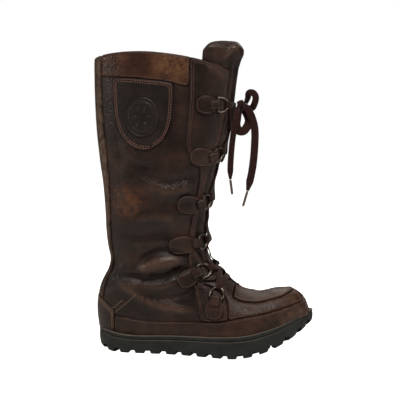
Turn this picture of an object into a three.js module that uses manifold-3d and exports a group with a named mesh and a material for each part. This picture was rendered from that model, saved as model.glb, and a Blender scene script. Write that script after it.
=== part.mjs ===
import * as THREE from 'three';
import { mergeVertices } from 'three/addons/utils/BufferGeometryUtils.js';
import Module from 'manifold-3d';

// A tall lace-up boot for the right foot, in millimetres.
// X runs to the toe, Y to the medial side and Z up; the origin is on the floor under the heel.

// Overall sizes
const SOLE_LENGTH = 292;
const HEEL_REACH = 37;
const BALL_WIDTH = 104;
const HEEL_WIDTH = 76;
const INSTEP_HEIGHT = 150;
const SHAFT_HEIGHT = 399;
const SHAFT_DEPTH = 190;
const SHAFT_WIDTH = 77;

// Leather and seams
const WALL = 2.4;
const OVERLAY = 1.6;
const GAP = 0.3;
const SEAM = 0.4;
const INSOLE_THICKNESS = 3;

// Outsole
const LIP_HEIGHT = 28;
const TOE_SPRING = 44;
const SPRING_START = 145;
const SPRING_POWER = 1.9;
const HEEL_BEVEL = 8;
const BEVEL_START = -8;
const CUP_DEPTH = 4;
const LUG_DEPTH = 4.2;
const LUG_PITCH = 21.4;
const LUG_GAP = 8;
const LUG_REACH = 16;
const TREAD_GROOVE = 4.5;
const TREAD_SLOT = 6;

// Throat, tongue and collar
const THROAT_BOTTOM = 87;
const THROAT_HALF = 21;
const TONGUE_THICKNESS = 2.6;
const TONGUE_FOOT = 7;
const TONGUE_BULGE = 3.2;
const TONGUE_FLARE = 4;
const TONGUE_RISE = 13;
const COLLAR_DIP = 0.985;

// Lacing hardware
const WIRE_RADIUS = 1.3;
const RING_REACH = 15;
const RING_HALF = 9.5;
const RING_DROOP = 0.2;
const RING_SIDES = 5;
const RING_STEPS = 9;
const TAB_HALF = 12.5;
const TAB_NECK = 7.6;
const BAR_SHARE = 0.6;
const FOLD_LEATHER = 1.3;
const LACE_WIDTH = 8;
const LACE_THICKNESS = 1.5;
const LACE_LIFT = 3.9;
const LACE_REST = 4.2;
const LACE_START = 6;
const LACE_OVERRUN = 19.5;
const KNOT_SIZE = 13;
const AGLET_RADIUS = 1.7;

// Fineness of the faceted surfaces
const ROUND_STEPS = 20;
const ROD_SIDES = 8;
const CORD_PITCH = 10.4;
const CORD_FULLNESS = 0.88;
const OUTLINE_STEPS = 44;
const FINEST = 0.03;
const REACH = 600;

const EYESTAY_OUTER = GAP + OVERLAY;
const TAB_FLOOR = EYESTAY_OUTER + GAP;
const wasm = await Module();
wasm.setup();

// Reading tables: each row becomes an object with the named columns.
const table = (columns, rows) => rows.map((row) =>
  Object.fromEntries(columns.map((name, i) => [name, row[i]])));
const alongFoot = (share) => share * SOLE_LENGTH - HEEL_REACH;
const alongShaft = (share) => share * SHAFT_DEPTH - HEEL_REACH;
const footPoint = ([x, z]) => [alongFoot(x), z * INSTEP_HEIGHT];
const shaftPoint = ([x, z]) => [alongShaft(x), z * SHAFT_HEIGHT];

// A smooth curve through rows with equal steps between them, for any number of columns.
function smoothRow(rows, at) {
  const last = rows.length - 1;
  const i = Math.min(Math.floor(at), last - 1);
  const t = at - i;
  const pick = (k) => rows[Math.max(0, Math.min(last, k))];
  const [a, b, c, d] = [pick(i - 1), pick(i), pick(i + 1), pick(i + 2)];
  return b.map((value, k) => value + 0.5 * t * (c[k] - a[k]
    + t * (2 * a[k] - 5 * value + 4 * c[k] - d[k] + t * (3 * (value - c[k]) + d[k] - a[k]))));
}

// A height over the foot's length, through points given as shares.
function heightOver(points) {
  return (x) => {
    let i = 0;
    while (i < points.length - 2 && points[i + 1][0] < x) i += 1;
    const [x0, z0] = points[i];
    const [x1, z1] = points[i + 1];
    const t = Math.max(0, Math.min(1, (x - x0) / (x1 - x0)));
    const slope = (k) => {
      const [lo, hi] = [points[Math.max(0, k - 1)], points[Math.min(points.length - 1, k + 1)]];
      return (hi[1] - lo[1]) / (hi[0] - lo[0]);
    };
    const span = x1 - x0;
    const fromLow = (2 * t ** 3 - 3 * t ** 2 + 1) * z0 + (t ** 3 - 2 * t ** 2 + t) * span * slope(i);
    const fromHigh = (3 * t ** 2 - 2 * t ** 3) * z1 + (t ** 3 - t ** 2) * span * slope(i + 1);
    return fromLow + fromHigh;
  };
}

// Sections of the form: a fan of planes across the boot, from the toe round the heel and up the shaft.
// Each plane runs from a back point to a front point; half is its half width and middle its sideways
// place, crest the ridge's sideways place, widest the share from back to front, full its squareness.
const SECTION = ['backX', 'backZ', 'frontX', 'frontZ', 'middle', 'half', 'crest', 'widest', 'full'];

// Foot: x in shares of the sole's length from its heel end, z of the instep's height, y of the ball's width.
const FOOT_SECTIONS = table(SECTION, [
  [0.983, 0.335, 0.983, 0.335, 0.077, 0.000, 0.077, 0.55, 2.3],
  [0.976, 0.250, 0.974, 0.395, 0.077, 0.125, 0.077, 0.55, 2.4],
  [0.960, 0.205, 0.958, 0.470, 0.077, 0.205, 0.077, 0.56, 2.5],
  [0.932, 0.165, 0.931, 0.530, 0.063, 0.270, 0.063, 0.52, 2.5],
  [0.887, 0.113, 0.887, 0.563, 0.048, 0.356, 0.058, 0.47, 2.5],
  [0.822, 0.053, 0.822, 0.560, 0.019, 0.414, 0.038, 0.45, 2.5],
  [0.743, 0.000, 0.743, 0.537, 0.000, 0.442, 0.019, 0.45, 2.45],
  [0.661, -0.027, 0.668, 0.567, -0.019, 0.438, 0.010, 0.42, 2.35],
  [0.582, -0.053, 0.599, 0.680, -0.029, 0.398, 0.000, 0.40, 2.25],
  [0.497, -0.067, 0.541, 0.780, -0.034, 0.350, 0.000, 0.38, 2.2],
]);

// Heel and ankle: x in shares of the shaft's depth from the heel's end, z of the instep's height.
const HEEL_SECTIONS = table(SECTION, [
  [0.605, -0.080, 0.789, 0.873, -0.037, 0.428, 0, 0.37, 2.2],
  [0.405, -0.093, 0.774, 0.953, -0.019, 0.425, 0, 0.38, 2.2],
  [0.221, -0.067, 0.771, 1.013, -0.006, 0.445, 0, 0.40, 2.25],
  [0.079, 0.013, 0.774, 1.067, 0, 0.465, 0, 0.42, 2.3],
  [0.021, 0.147, 0.774, 1.107, 0, 0.458, 0, 0.44, 2.35],
  [0.000, 0.320, 0.774, 1.147, 0, 0.461, 0, 0.46, 2.4],
  [0.003, 0.453, 0.776, 1.193, 0, 0.455, 0, 0.47, 2.4],
  [0.037, 0.600, 0.782, 1.247, 0, 0.455, 0, 0.48, 2.4],
]);

// Shaft: z in shares of its height.
const SHAFT_SECTIONS = table(SECTION, [
  [0.089, 0.273, 0.787, 0.489, 0, 0.461, 0, 0.49, 2.45],
  [0.105, 0.311, 0.795, 0.509, 0, 0.474, 0, 0.50, 2.5],
  [0.089, 0.351, 0.805, 0.534, 0, 0.487, 0, 0.50, 2.5],
  [0.076, 0.406, 0.821, 0.569, 0, 0.494, 0, 0.50, 2.55],
  [0.071, 0.471, 0.847, 0.619, 0, 0.500, 0, 0.50, 2.6],
  [0.058, 0.556, 0.889, 0.677, 0, 0.500, 0, 0.50, 2.65],
  [0.034, 0.644, 0.932, 0.739, 0, 0.500, 0, 0.50, 2.7],
  [0.011, 0.747, 0.963, 0.817, 0, 0.500, 0, 0.50, 2.7],
  [0.000, 0.852, 0.984, 0.900, 0, 0.500, 0, 0.50, 2.7],
  [-0.003, 0.947, 1.005, 0.972, 0, 0.500, 0, 0.50, 2.7],
  [-0.003, 1.055, 1.021, 1.065, 0, 0.500, 0, 0.50, 2.7],
]);

// All sections in one list of plain numbers.
const sized = (rows, along, height, width) => rows.map((row) => [
  along(row.backX), row.backZ * height, along(row.frontX), row.frontZ * height,
  row.middle * width, row.half * width, row.crest * width, row.widest, row.full]);
const SECTIONS = [
  ...sized(FOOT_SECTIONS, alongFoot, INSTEP_HEIGHT, BALL_WIDTH),
  ...sized(HEEL_SECTIONS, alongShaft, INSTEP_HEIGHT, SHAFT_WIDTH),
  ...sized(SHAFT_SECTIONS, alongShaft, SHAFT_HEIGHT, SHAFT_WIDTH),
];
const LAST_SECTION = SECTIONS.length - 1;

// One point of the boot's outer form: fan counts sections from the toe, turn starts at the front ridge.
function formPoint(fan, turn) {
  const [backX, backZ, frontX, frontZ, middle, half, crest, widest, full] = smoothRow(SECTIONS, fan);
  const power = (value) => Math.sign(value) * Math.abs(value) ** (2 / full);
  const along = power(Math.cos(turn));
  const across = power(Math.sin(turn));
  const share = along > 0 ? widest + along * (1 - widest) : widest * (1 + along);
  const ridge = (crest - middle) * Math.max(0, along) ** 2;
  return new THREE.Vector3(
    backX + share * (frontX - backX),
    middle - half * across + ridge,
    backZ + share * (frontZ - backZ));
}

// The outward direction there, from short steps both ways.
function formNormal(fan, turn) {
  if (fan < 0.01) return new THREE.Vector3(1, 0, 0);
  const step = 0.004;
  const up = formPoint(Math.min(fan + step, LAST_SECTION), turn).sub(formPoint(fan - step, turn));
  const round = formPoint(fan, turn + step).sub(formPoint(fan, turn - step));
  return up.cross(round).normalize();
}

const offsetPoint = (fan, turn, offset) =>
  formPoint(fan, turn).addScaledVector(formNormal(fan, turn), offset);

// Turning a closed triangle list into a solid, and a solid back into geometry.
function solid(geometry) {
  const plain = geometry.clone();
  plain.deleteAttribute('normal');
  plain.deleteAttribute('uv');
  const merged = mergeVertices(plain, 1e-4);
  return new wasm.Manifold(new wasm.Mesh({
    numProp: 3,
    vertProperties: Float32Array.from(merged.attributes.position.array),
    triVerts: Uint32Array.from(merged.index.array),
  }));
}

// Cuts leave flakes thinner than a hair; a piece is the largest body that they leave.
const largest = (body) => body.decompose().reduce(
  (best, next) => (next.volume() > best.volume() ? next : best));

function geometryOf(body) {
  const mesh = largest(largest(body).simplify(FINEST)).getMesh();
  const geometry = new THREE.BufferGeometry();
  geometry.setAttribute('position', new THREE.BufferAttribute(mesh.vertProperties, 3));
  geometry.setIndex(new THREE.BufferAttribute(mesh.triVerts, 1));
  geometry.computeVertexNormals();
  return geometry;
}

// A closed skin over rings of points; a ring may be a single pole.
function skin(rings) {
  const positions = [];
  const index = [];
  const starts = rings.map((ring) => {
    const start = positions.length / 3;
    ring.forEach((point) => positions.push(point.x, point.y, point.z));
    return start;
  });
  for (let i = 0; i < rings.length - 1; i += 1) {
    const [low, high] = [rings[i].length, rings[i + 1].length];
    const steps = Math.max(low, high);
    for (let k = 0; k < steps; k += 1) {
      const a = starts[i] + (k % low);
      const b = starts[i] + ((k + 1) % low);
      const c = starts[i + 1] + (k % high);
      const d = starts[i + 1] + ((k + 1) % high);
      if (low > 1) index.push(a, b, c);
      if (high > 1) index.push(b, d, c);
    }
  }
  const geometry = new THREE.BufferGeometry();
  geometry.setAttribute('position', new THREE.Float32BufferAttribute(positions, 3));
  geometry.setIndex(index);
  return geometry;
}

const joined = (bodies) => bodies.reduce((sum, body) => sum.add(body));
const centreOf = (ring) => ring.reduce((sum, p) => sum.add(p), new THREE.Vector3()).divideScalar(ring.length);
const capped = (rings) => skin([
  ...(rings[0].length > 1 ? [[centreOf(rings[0])]] : []), ...rings,
  ...(rings.at(-1).length > 1 ? [[centreOf(rings.at(-1))]] : [])]);

// The whole form grown by an offset, closed at the toe and above the collar.
const grownForms = new Map();
function form(offset) {
  if (!grownForms.has(offset)) {
    const rings = SECTIONS.map((row, fan) => (fan === 0
      ? [offsetPoint(0, 0, offset)]
      : Array.from({ length: ROUND_STEPS }, (_, k) =>
        offsetPoint(fan, (-2 * Math.PI * k) / ROUND_STEPS, offset))));
    grownForms.set(offset, solid(capped(rings)));
  }
  return grownForms.get(offset);
}
const layer = (inner, outer) => form(outer).subtract(form(inner));

// Prisms: an outline in the side view, the front view or the top view, carried right across the boot.
function prism(points, place) {
  const shape = new THREE.Shape(points.map(([a, b]) => new THREE.Vector2(a, b)));
  const geometry = new THREE.ExtrudeGeometry(shape, { depth: 2 * REACH, bevelEnabled: false, steps: 1 });
  geometry.translate(0, 0, -REACH);
  if (place === 'side') geometry.rotateX(Math.PI / 2);
  if (place === 'front') {
    const [x, y, z] = [new THREE.Vector3(1, 0, 0), new THREE.Vector3(0, 1, 0), new THREE.Vector3(0, 0, 1)];
    geometry.applyMatrix4(new THREE.Matrix4().makeBasis(y, z, x));
  }
  return solid(geometry);
}
const sidePrism = (points) => prism(points, 'side');
const above = (line) => sidePrism([...line, [REACH, REACH], [-REACH, REACH]]);
const below = (line) => sidePrism([...line, [REACH, -REACH], [-REACH, -REACH]]);
const raise = (line, by) => line.map(([x, z]) => [x, z + by]);
const halfSpace = (side) => prism(side < 0
  ? [[-REACH, -REACH], [REACH, -REACH], [REACH, 0], [-REACH, 0]]
  : [[-REACH, 0], [REACH, 0], [REACH, REACH], [-REACH, REACH]], 'top');

// An outline grown by a distance, or shrunk by a negative one.
function grow(points, by) {
  const turnArea = points.reduce((sum, [x, z], i) => {
    const [nextX, nextZ] = points[(i + 1) % points.length];
    return sum + x * nextZ - nextX * z;
  }, 0);
  const sign = Math.sign(turnArea);
  return points.map(([x, z], i) => {
    const [px, pz] = points[(i + points.length - 1) % points.length];
    const [nx, nz] = points[(i + 1) % points.length];
    const before = new THREE.Vector2(z - pz, px - x).normalize();
    const after = new THREE.Vector2(nz - z, x - nx).normalize();
    const mitre = before.clone().add(after).normalize();
    const reach = (sign * by) / Math.max(0.4, mitre.dot(after));
    return [x + mitre.x * reach, z + mitre.y * reach];
  });
}

// Heights of the sole's lip and of its underside over the foot's length.
const lipHeight = heightOver(table(['x', 'z'], [
  [0.000, 1.07], [0.062, 1.02], [0.127, 0.91], [0.209, 0.86], [0.346, 0.91],
  [0.579, 1.00], [0.709, 1.14], [0.818, 1.43], [0.901, 1.75], [0.945, 1.93], [1.000, 2.10],
]).map((row) => [alongFoot(row.x), row.z * LIP_HEIGHT]));
const TOE_END = alongFoot(1);
const floorHeight = (x) => {
  const spring = Math.max(0, (x - SPRING_START) / (TOE_END - SPRING_START));
  const bevel = Math.max(0, (BEVEL_START - x) / (BEVEL_START + HEEL_REACH));
  return TOE_SPRING * spring ** SPRING_POWER + HEEL_BEVEL * bevel ** 1.6;
};
const FOOT_STATIONS = Array.from({ length: 25 }, (_, i) => alongFoot(i / 24));
const spread = (line) => [[-REACH, line[0][1]], ...line, [REACH, line.at(-1)[1]]];
const lineOf = (height) => spread(FOOT_STATIONS.map((x) => [x, height(x)]));
const CUP_LINE = raise(lineOf(lipHeight), -CUP_DEPTH);

// Sole outline from above: x in shares of the sole's length, y of half the ball's width.
const SOLE_OUTLINE = table(['x', 'lateral', 'medial'], [
  [0.0240, 0.385, 0.385], [0.0753, 0.615, 0.615], [0.1438, 0.725, 0.725], [0.2300, 0.740, 0.715],
  [0.3150, 0.731, 0.673], [0.4000, 0.760, 0.654], [0.4860, 0.837, 0.702], [0.5720, 0.933, 0.808],
  [0.6575, 1.000, 0.923], [0.7430, 0.990, 0.981], [0.8290, 0.875, 0.962], [0.8970, 0.663, 0.865],
  [0.9500, 0.375, 0.692], [0.9830, 0.060, 0.490],
]);
const soleY = (row, side) => {
  const heel = Math.max(0, 1 - row.x / 0.4);
  const width = BALL_WIDTH * (1 - heel) + HEEL_WIDTH * (BALL_WIDTH / HEEL_WIDTH) * heel;
  return (side * row[side < 0 ? 'lateral' : 'medial'] * width) / 2;
};
const soleCurve = new THREE.CatmullRomCurve3([
  new THREE.Vector3(alongFoot(0), 0, 0),
  ...SOLE_OUTLINE.map((row) => new THREE.Vector3(alongFoot(row.x), soleY(row, -1), 0)),
  new THREE.Vector3(alongFoot(1), 0.16 * BALL_WIDTH / 2, 0),
  ...SOLE_OUTLINE.map((row) => new THREE.Vector3(alongFoot(row.x), soleY(row, 1), 0)).reverse(),
], true, 'centripetal');

// A point of the sole's outline moved inward, by the share of the way round from the heel.
function soleEdge(share, inset) {
  const point = soleCurve.getPointAt(((share % 1) + 1) % 1);
  const tangent = soleCurve.getTangentAt(((share % 1) + 1) % 1);
  return new THREE.Vector3(point.x - tangent.y * inset, point.y + tangent.x * inset, 0);
}
const soleRing = (inset, steps = OUTLINE_STEPS) =>
  Array.from({ length: steps }, (_, i) => soleEdge(i / steps, inset));

// Outsole: a cup with a lip, a stepped side, a ring of edge lugs and bars down the middle.
const SOLE_SIDE = table(['rise', 'inset'], [
  [0.00, 3.0], [0.12, 0.8], [0.50, 0.2], [0.75, 0.6], [0.79, 1.8], [0.86, 0.4], [1.00, 0.4],
]);

function makeOutsole() {
  const rings = SOLE_SIDE.map(({ rise, inset }) => soleRing(inset).map((point) => {
    const [floor, lip] = [floorHeight(point.x), lipHeight(point.x)];
    return new THREE.Vector3(point.x, point.y, floor + rise * (lip - floor));
  }));
  const flatRing = (ring, z) => ring.map((point) => point.clone().setZ(z));
  const column = [flatRing(rings[0], -LIP_HEIGHT), ...rings, flatRing(rings.at(-1), SHAFT_HEIGHT)];
  const block = solid(capped(column))
    .intersect(above(lineOf(floorHeight))).intersect(below(lineOf(lipHeight)))
    .subtract(form(TAB_FLOOR).intersect(above(CUP_LINE)));
  const treadLine = raise(lineOf(floorHeight), LUG_DEPTH);
  const slots = joined(middleSlots()).intersect(prism(treadArea(LUG_REACH + TREAD_GROOVE / 2), 'top'));
  const groove = prism(treadArea(LUG_REACH), 'top')
    .subtract(prism(treadArea(LUG_REACH + TREAD_GROOVE), 'top'));
  const tread = slots.add(groove).intersect(below(treadLine));
  return block.subtract(tread.add(joined(edgeNotches())));
}

// The tread inside the edge lugs, seen from below, moved inward from the sole's outline.
function treadArea(inset) {
  const rows = SOLE_OUTLINE.filter((row) => row.x > 0.05 && row.x < 0.92);
  const forward = (row) => (row.x < 0.5 ? inset - LUG_REACH : LUG_REACH - inset);
  const side = (sign) => rows.map((row) => [alongFoot(row.x) + forward(row), soleY(row, sign) - sign * inset]);
  return [...side(-1), ...side(1).reverse()];
}

function edgeNotches() {
  const count = Math.round(soleCurve.getLength() / LUG_PITCH);
  return Array.from({ length: count }, (_, i) => {
    const share = (i + 0.5) / count;
    const onFloor = (inset) => {
      const point = soleEdge(share, inset);
      return point.setZ(floorHeight(point.x));
    };
    const [outer, inner] = [onFloor(-LUG_GAP), onFloor(LUG_REACH + TREAD_GROOVE / 3)];
    const inward = inner.clone().sub(outer);
    const length = inward.length();
    const sideways = new THREE.Vector3(-inward.y, inward.x, 0).normalize();
    const up = inward.clone().normalize().cross(sideways);
    const box = new THREE.BoxGeometry(length, LUG_GAP, 3 * LUG_DEPTH);
    const centre = outer.add(inner).divideScalar(2).addScaledVector(up, -0.4 * LUG_DEPTH);
    box.applyMatrix4(new THREE.Matrix4().makeBasis(inward.normalize(), sideways, up).setPosition(centre));
    return solid(box);
  });
}

function middleSlots() {
  const count = Math.floor((TOE_END - LUG_REACH) / LUG_PITCH);
  return Array.from({ length: count }, (_, i) => {
    const box = new THREE.BoxGeometry(TREAD_SLOT, BALL_WIDTH, REACH);
    box.translate((i + 0.5) * LUG_PITCH, 0, 0);
    return solid(box);
  });
}

// Seam and edge lines in the side view
const COLLAR_LINE = [
  [-0.05, 0.985], [0.00, 0.985], [0.05, 0.990], [0.13, 0.996], [0.24, 1.000], [0.39, 1.000],
  [0.53, 0.993], [0.67, 0.982], [0.80, 0.967], [0.90, 0.955], [0.97, 0.935], [1.05, 0.915],
].map(shaftPoint);
const BAND_LINE = [
  [-0.05, 0.922], [0.13, 0.920], [0.28, 0.915], [0.50, 0.904], [0.71, 0.882], [0.80, 0.870],
].map(shaftPoint);
const RAND_LINE = [
  [-0.10, 0.335], [0.13, 0.333], [0.21, 0.297], [0.30, 0.287], [0.51, 0.307], [0.59, 0.310],
  [0.675, 0.353], [0.777, 0.387], [0.863, 0.433], [0.955, 0.483], [1.10, 0.520],
].map(footPoint);
const VAMP_LINE = [
  [0.634, 0.10], [0.634, 0.48], [0.580, 0.580], [0.538, 0.613], [0.493, 0.647],
].map(footPoint);
const EYESTAY_BACK = [
  [0.70, 1.10], [0.70, 0.84], [0.680, 0.745], [0.668, 0.690], [0.700, 0.650], [0.765, 0.618],
  [0.752, 0.564], [0.718, 0.499], [0.690, 0.431], [0.675, 0.383], [0.672, 0.311], [0.690, 0.262],
  [0.720, 0.235],
].map(shaftPoint);
const HEEL_LINE = [
  [-0.20, 0.540], [0.005, 0.520], [0.100, 0.370], [0.100, -0.20], [-0.20, -0.20],
].map(footPoint);
const PATCH_LINE = [
  [0.155, 0.930], [0.158, 0.845], [0.174, 0.762], [0.242, 0.702], [0.375, 0.670], [0.490, 0.692],
  [0.563, 0.745], [0.584, 0.807], [0.590, 0.930],
].map(shaftPoint);

// Overlay outlines, each a closed area of the side view
const RAND_AREA = [...RAND_LINE, [REACH, -REACH], [-REACH, -REACH]];
const BAND_AREA = [...BAND_LINE, [alongShaft(0.80), REACH], [alongShaft(-0.05), REACH]];
const VAMP_AREA = [...VAMP_LINE, [REACH, 0.69 * INSTEP_HEIGHT], [REACH, VAMP_LINE[0][1]]];
const EYESTAY_AREA = [...EYESTAY_BACK, footPoint([0.510, 0.267]), [REACH, 0], [REACH, EYESTAY_BACK[0][1]]];
const STRIP_LINE = [
  [0.068, 1.10], [0.068, 0.980], [0.063, 0.847], [0.100, 0.644], [0.121, 0.544], [0.116, 0.366],
  [0.147, 0.296], [0.047, 0.200], [0.047, -0.20],
].map(shaftPoint);
const STRIP_AREA = [...STRIP_LINE, [-REACH, STRIP_LINE.at(-1)[1]], [-REACH, STRIP_LINE[0][1]]];
const APRON_AREA = [
  [0.645, -0.30], [0.690, -0.31], [0.780, -0.30], [0.850, -0.24], [0.893, -0.13], [0.908, 0.04],
  [0.898, 0.21], [0.850, 0.31], [0.780, 0.36], [0.690, 0.34], [0.645, 0.32],
].map(([x, y]) => [alongFoot(x), y * BALL_WIDTH]);

// What the boot keeps of a layer: above the cup, under the collar line, outside the throat.
const THROAT_ROWS = table(['z', 'half'], [
  [0, 0.15], [0.03, 0.45], [0.10, 0.80], [0.20, 1.00], [0.95, 0.95], [1.30, 0.90],
]);
const throatCutter = () => {
  const high = SHAFT_HEIGHT - THROAT_BOTTOM;
  const right = THROAT_ROWS.map(({ z, half }) => [half * THROAT_HALF, THROAT_BOTTOM + z * high]);
  const left = right.map(([y, z]) => [-y, z]).reverse();
  const forward = sidePrism([[alongShaft(0.5), 0], [REACH, 0], [REACH, REACH], [alongShaft(0.5), REACH]]);
  return prism([...right, ...left], 'front').intersect(forward);
};
const THROAT = throatCutter();
const SHELL_SPACE = above(raise(CUP_LINE, GAP)).intersect(below(COLLAR_LINE));
const trimmed = (body) => body.intersect(SHELL_SPACE).subtract(THROAT);

function makeUpper() {
  return trimmed(layer(-WALL, 0));
}

function makeInsole() {
  return form(-WALL - 2 * GAP).intersect(above(raise(CUP_LINE, GAP)))
    .intersect(below(raise(CUP_LINE, GAP + INSOLE_THICKNESS)));
}

// Tongue: a sheet inside the throat that bulges into it, taller than the collar, its top turned outward.
const TONGUE_OFFSETS = table(['steps', 'bulge'], [
  [3, 0], [2, 0], [1, 0.2], [0, 1], [-1, 0.2], [-2, 0], [-3, 0],
]);
function makeTongue() {
  const sectionsUp = SECTIONS.map((row, fan) => fan).filter((fan) => fan >= TONGUE_FOOT);
  const rings = sectionsUp.map((fan) => {
    const fade = Math.min(1, Math.max(0, (fan - TONGUE_FOOT - 1) / 3));
    const at = ({ steps, bulge }, depth) => {
      const turn = (2 * Math.PI * steps) / ROUND_STEPS;
      const over = Math.max(0, (formPoint(fan, turn).z - COLLAR_DIP * SHAFT_HEIGHT) / TONGUE_RISE);
      const face = TONGUE_FLARE * over + fade * bulge * TONGUE_BULGE - WALL - 2 * GAP;
      return offsetPoint(fan, turn, face - depth);
    };
    const front = TONGUE_OFFSETS.map((row) => at(row, 0));
    const back = TONGUE_OFFSETS.map((row) => at(row, TONGUE_THICKNESS));
    return [...front, ...back.reverse()];
  });
  const top = [[-REACH, SHAFT_HEIGHT], [alongShaft(0.77), COLLAR_DIP * SHAFT_HEIGHT],
    [alongShaft(0.85), SHAFT_HEIGHT + 0.8 * TONGUE_RISE], [alongShaft(0.92), SHAFT_HEIGHT + TONGUE_RISE],
    [REACH, SHAFT_HEIGHT + TONGUE_RISE]];
  return solid(capped(rings)).intersect(below(top));
}

// Overlays: leather pieces sewn on the upper, cut from a layer just outside it.
const sewn = layer(GAP, EYESTAY_OUTER);
const outlineCut = (body, outline, side) => {
  const piece = trimmed(body).intersect(sidePrism(outline));
  return side ? piece.intersect(halfSpace(side)) : piece;
};
const areaPrism = (outline, by = SEAM) => sidePrism(grow(outline, by));

function makeRand() {
  return outlineCut(sewn, RAND_AREA).subtract(areaPrism(HEEL_LINE));
}

function makeHeelCounter() {
  return outlineCut(sewn, HEEL_LINE);
}

function makeApron() {
  return trimmed(sewn).intersect(prism(APRON_AREA, 'top')).intersect(above([[-REACH, 0.3 * INSTEP_HEIGHT],
    [REACH, 0.3 * INSTEP_HEIGHT]])).subtract(areaPrism(RAND_AREA));
}

function makeVamp() {
  return outlineCut(sewn, VAMP_AREA).subtract(areaPrism(RAND_AREA))
    .subtract(prism(grow(APRON_AREA, SEAM), 'top'));
}

function makeBackStrip() {
  return outlineCut(sewn, STRIP_AREA).subtract(areaPrism(HEEL_LINE)).subtract(areaPrism(RAND_AREA));
}

function makeCollarBand(side) {
  return outlineCut(sewn, BAND_AREA, side).subtract(areaPrism(EYESTAY_AREA)).subtract(areaPrism(STRIP_AREA));
}

function makeEyestay(side) {
  return outlineCut(sewn, EYESTAY_AREA, side).subtract(areaPrism(VAMP_AREA)).subtract(areaPrism(RAND_AREA));
}

function makePatch() {
  return outlineCut(sewn, PATCH_LINE, -1).subtract(areaPrism(BAND_AREA)).subtract(areaPrism(STRIP_AREA));
}

// Round badge on the patch: bare, with a raised rim left to the finish.
const BADGE = { x: 0.368, z: 0.785, halfX: 0.121, halfZ: 0.066, steps: 18, rise: 0.8 };
function makeBadge() {
  const outline = Array.from({ length: BADGE.steps }, (_, i) => {
    const turn = (2 * Math.PI * i) / BADGE.steps;
    return shaftPoint([BADGE.x + BADGE.halfX * Math.cos(turn), BADGE.z + BADGE.halfZ * Math.sin(turn)]);
  });
  return outlineCut(layer(TAB_FLOOR, TAB_FLOOR + BADGE.rise), outline, -1);
}

// Finding the form's surface where a measure of its points is smallest, near a first fan and turn.
function closest(missOf, fans, turns) {
  let best = { miss: Infinity };
  const look = (fanList, turnList) => fanList.forEach((fan) => turnList.forEach((turn) => {
    const miss = missOf(formPoint(fan, turn));
    if (miss < best.miss) best = { miss, fan, turn };
  }));
  const around = (middle, reach) => Array.from({ length: 9 }, (_, i) => middle + (reach * (i - 4)) / 4);
  const clampFan = (list) => list.map((fan) => Math.max(0.1, Math.min(LAST_SECTION - 0.1, fan)));
  look(fans, turns);
  for (let reach = 0.5; reach > 1e-4; reach *= 0.4) {
    look(clampFan(around(best.fan, reach)), around(best.turn, reach * 0.3));
  }
  return { ...best, point: formPoint(best.fan, best.turn), normal: formNormal(best.fan, best.turn) };
}
const FANS = Array.from({ length: 60 }, (_, i) => 4 + (i * (LAST_SECTION - 5)) / 60);
const seat = (x, z, side) => closest((point) => Math.hypot(point.x - x, point.z - z), FANS,
  Array.from({ length: 30 }, (_, i) => -side * 0.06 * (i + 1)));
const onFront = (place, offset) => {
  const { point, normal } = closest((other) => other.distanceTo(place), FANS,
    Array.from({ length: 21 }, (_, i) => (i - 10) * 0.15));
  return { point: point.addScaledVector(normal, offset), normal };
};

// D-rings: place of each ring's bar in the side view, the way its tab points back, and the tab's length.
const RING_ROWS = table(['x', 'z', 'degrees', 'length'], [
  [0.880, 0.825, 180, 29], [0.850, 0.662, 183, 33], [0.765, 0.506, 186, 34],
  [0.735, 0.372, 187, 40], [0.760, 0.272, 209, 33], [0.885, 0.193, 262, 29],
]);

function ringFrame({ x, z, degrees }, side) {
  const [px, pz] = shaftPoint([x, z]);
  const { point, normal, fan } = seat(px, pz, side);
  const angle = THREE.MathUtils.degToRad(degrees);
  const ahead = new THREE.Vector3(-Math.cos(angle), 0, -Math.sin(angle));
  ahead.addScaledVector(normal, -ahead.dot(normal)).normalize();
  const bar = normal.clone().cross(ahead);
  const lift = TAB_FLOOR + OVERLAY + 2 * GAP + WIRE_RADIUS;
  const lean = ahead.clone().applyAxisAngle(bar, RING_DROOP);
  const centre = point.addScaledVector(normal, lift);
  return { x: centre.x, z: centre.z, angle, bar, ahead, normal, lean, fan, centre };
}

const ringLoop = ({ centre, bar, lean }) => {
  const at = (forward, along) => centre.clone().addScaledVector(lean, forward).addScaledVector(bar, along);
  const bow = Array.from({ length: RING_STEPS + 1 }, (_, i) => {
    const turn = Math.PI * (i / RING_STEPS - 0.5);
    return at(RING_REACH * Math.cos(turn) ** 0.9, RING_HALF * Math.sin(turn));
  });
  return [...bow, at(0, BAR_SHARE * RING_HALF), at(0, -BAR_SHARE * RING_HALF)];
};

// A round wire along a closed loop that lies in one plane.
function wireLoop(points, planeNormal, radius) {
  const count = points.length;
  const rings = points.map((point, i) => {
    const tangent = points[(i + 1) % count].clone().sub(points[(i + count - 1) % count]).normalize();
    const outward = tangent.clone().cross(planeNormal);
    return Array.from({ length: RING_SIDES }, (_, k) => {
      const turn = (-2 * Math.PI * k) / RING_SIDES;
      return point.clone().addScaledVector(outward, radius * Math.cos(turn))
        .addScaledVector(planeNormal, radius * Math.sin(turn));
    });
  });
  return solid(skin([...rings, rings[0]]));
}

const ringSolid = (frame, radius) => wireLoop(ringLoop(frame), frame.bar.clone().cross(frame.lean), radius);

// Half of a tab's outline behind its neck, in shares of its length and half width.
const TAB_OUTLINE = table(['back', 'half'], [[0.45, 1], [0.80, 0.85], [1, 0.3]]);
const FOLD_WIDTH = 1.5 * TAB_NECK;

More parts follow.
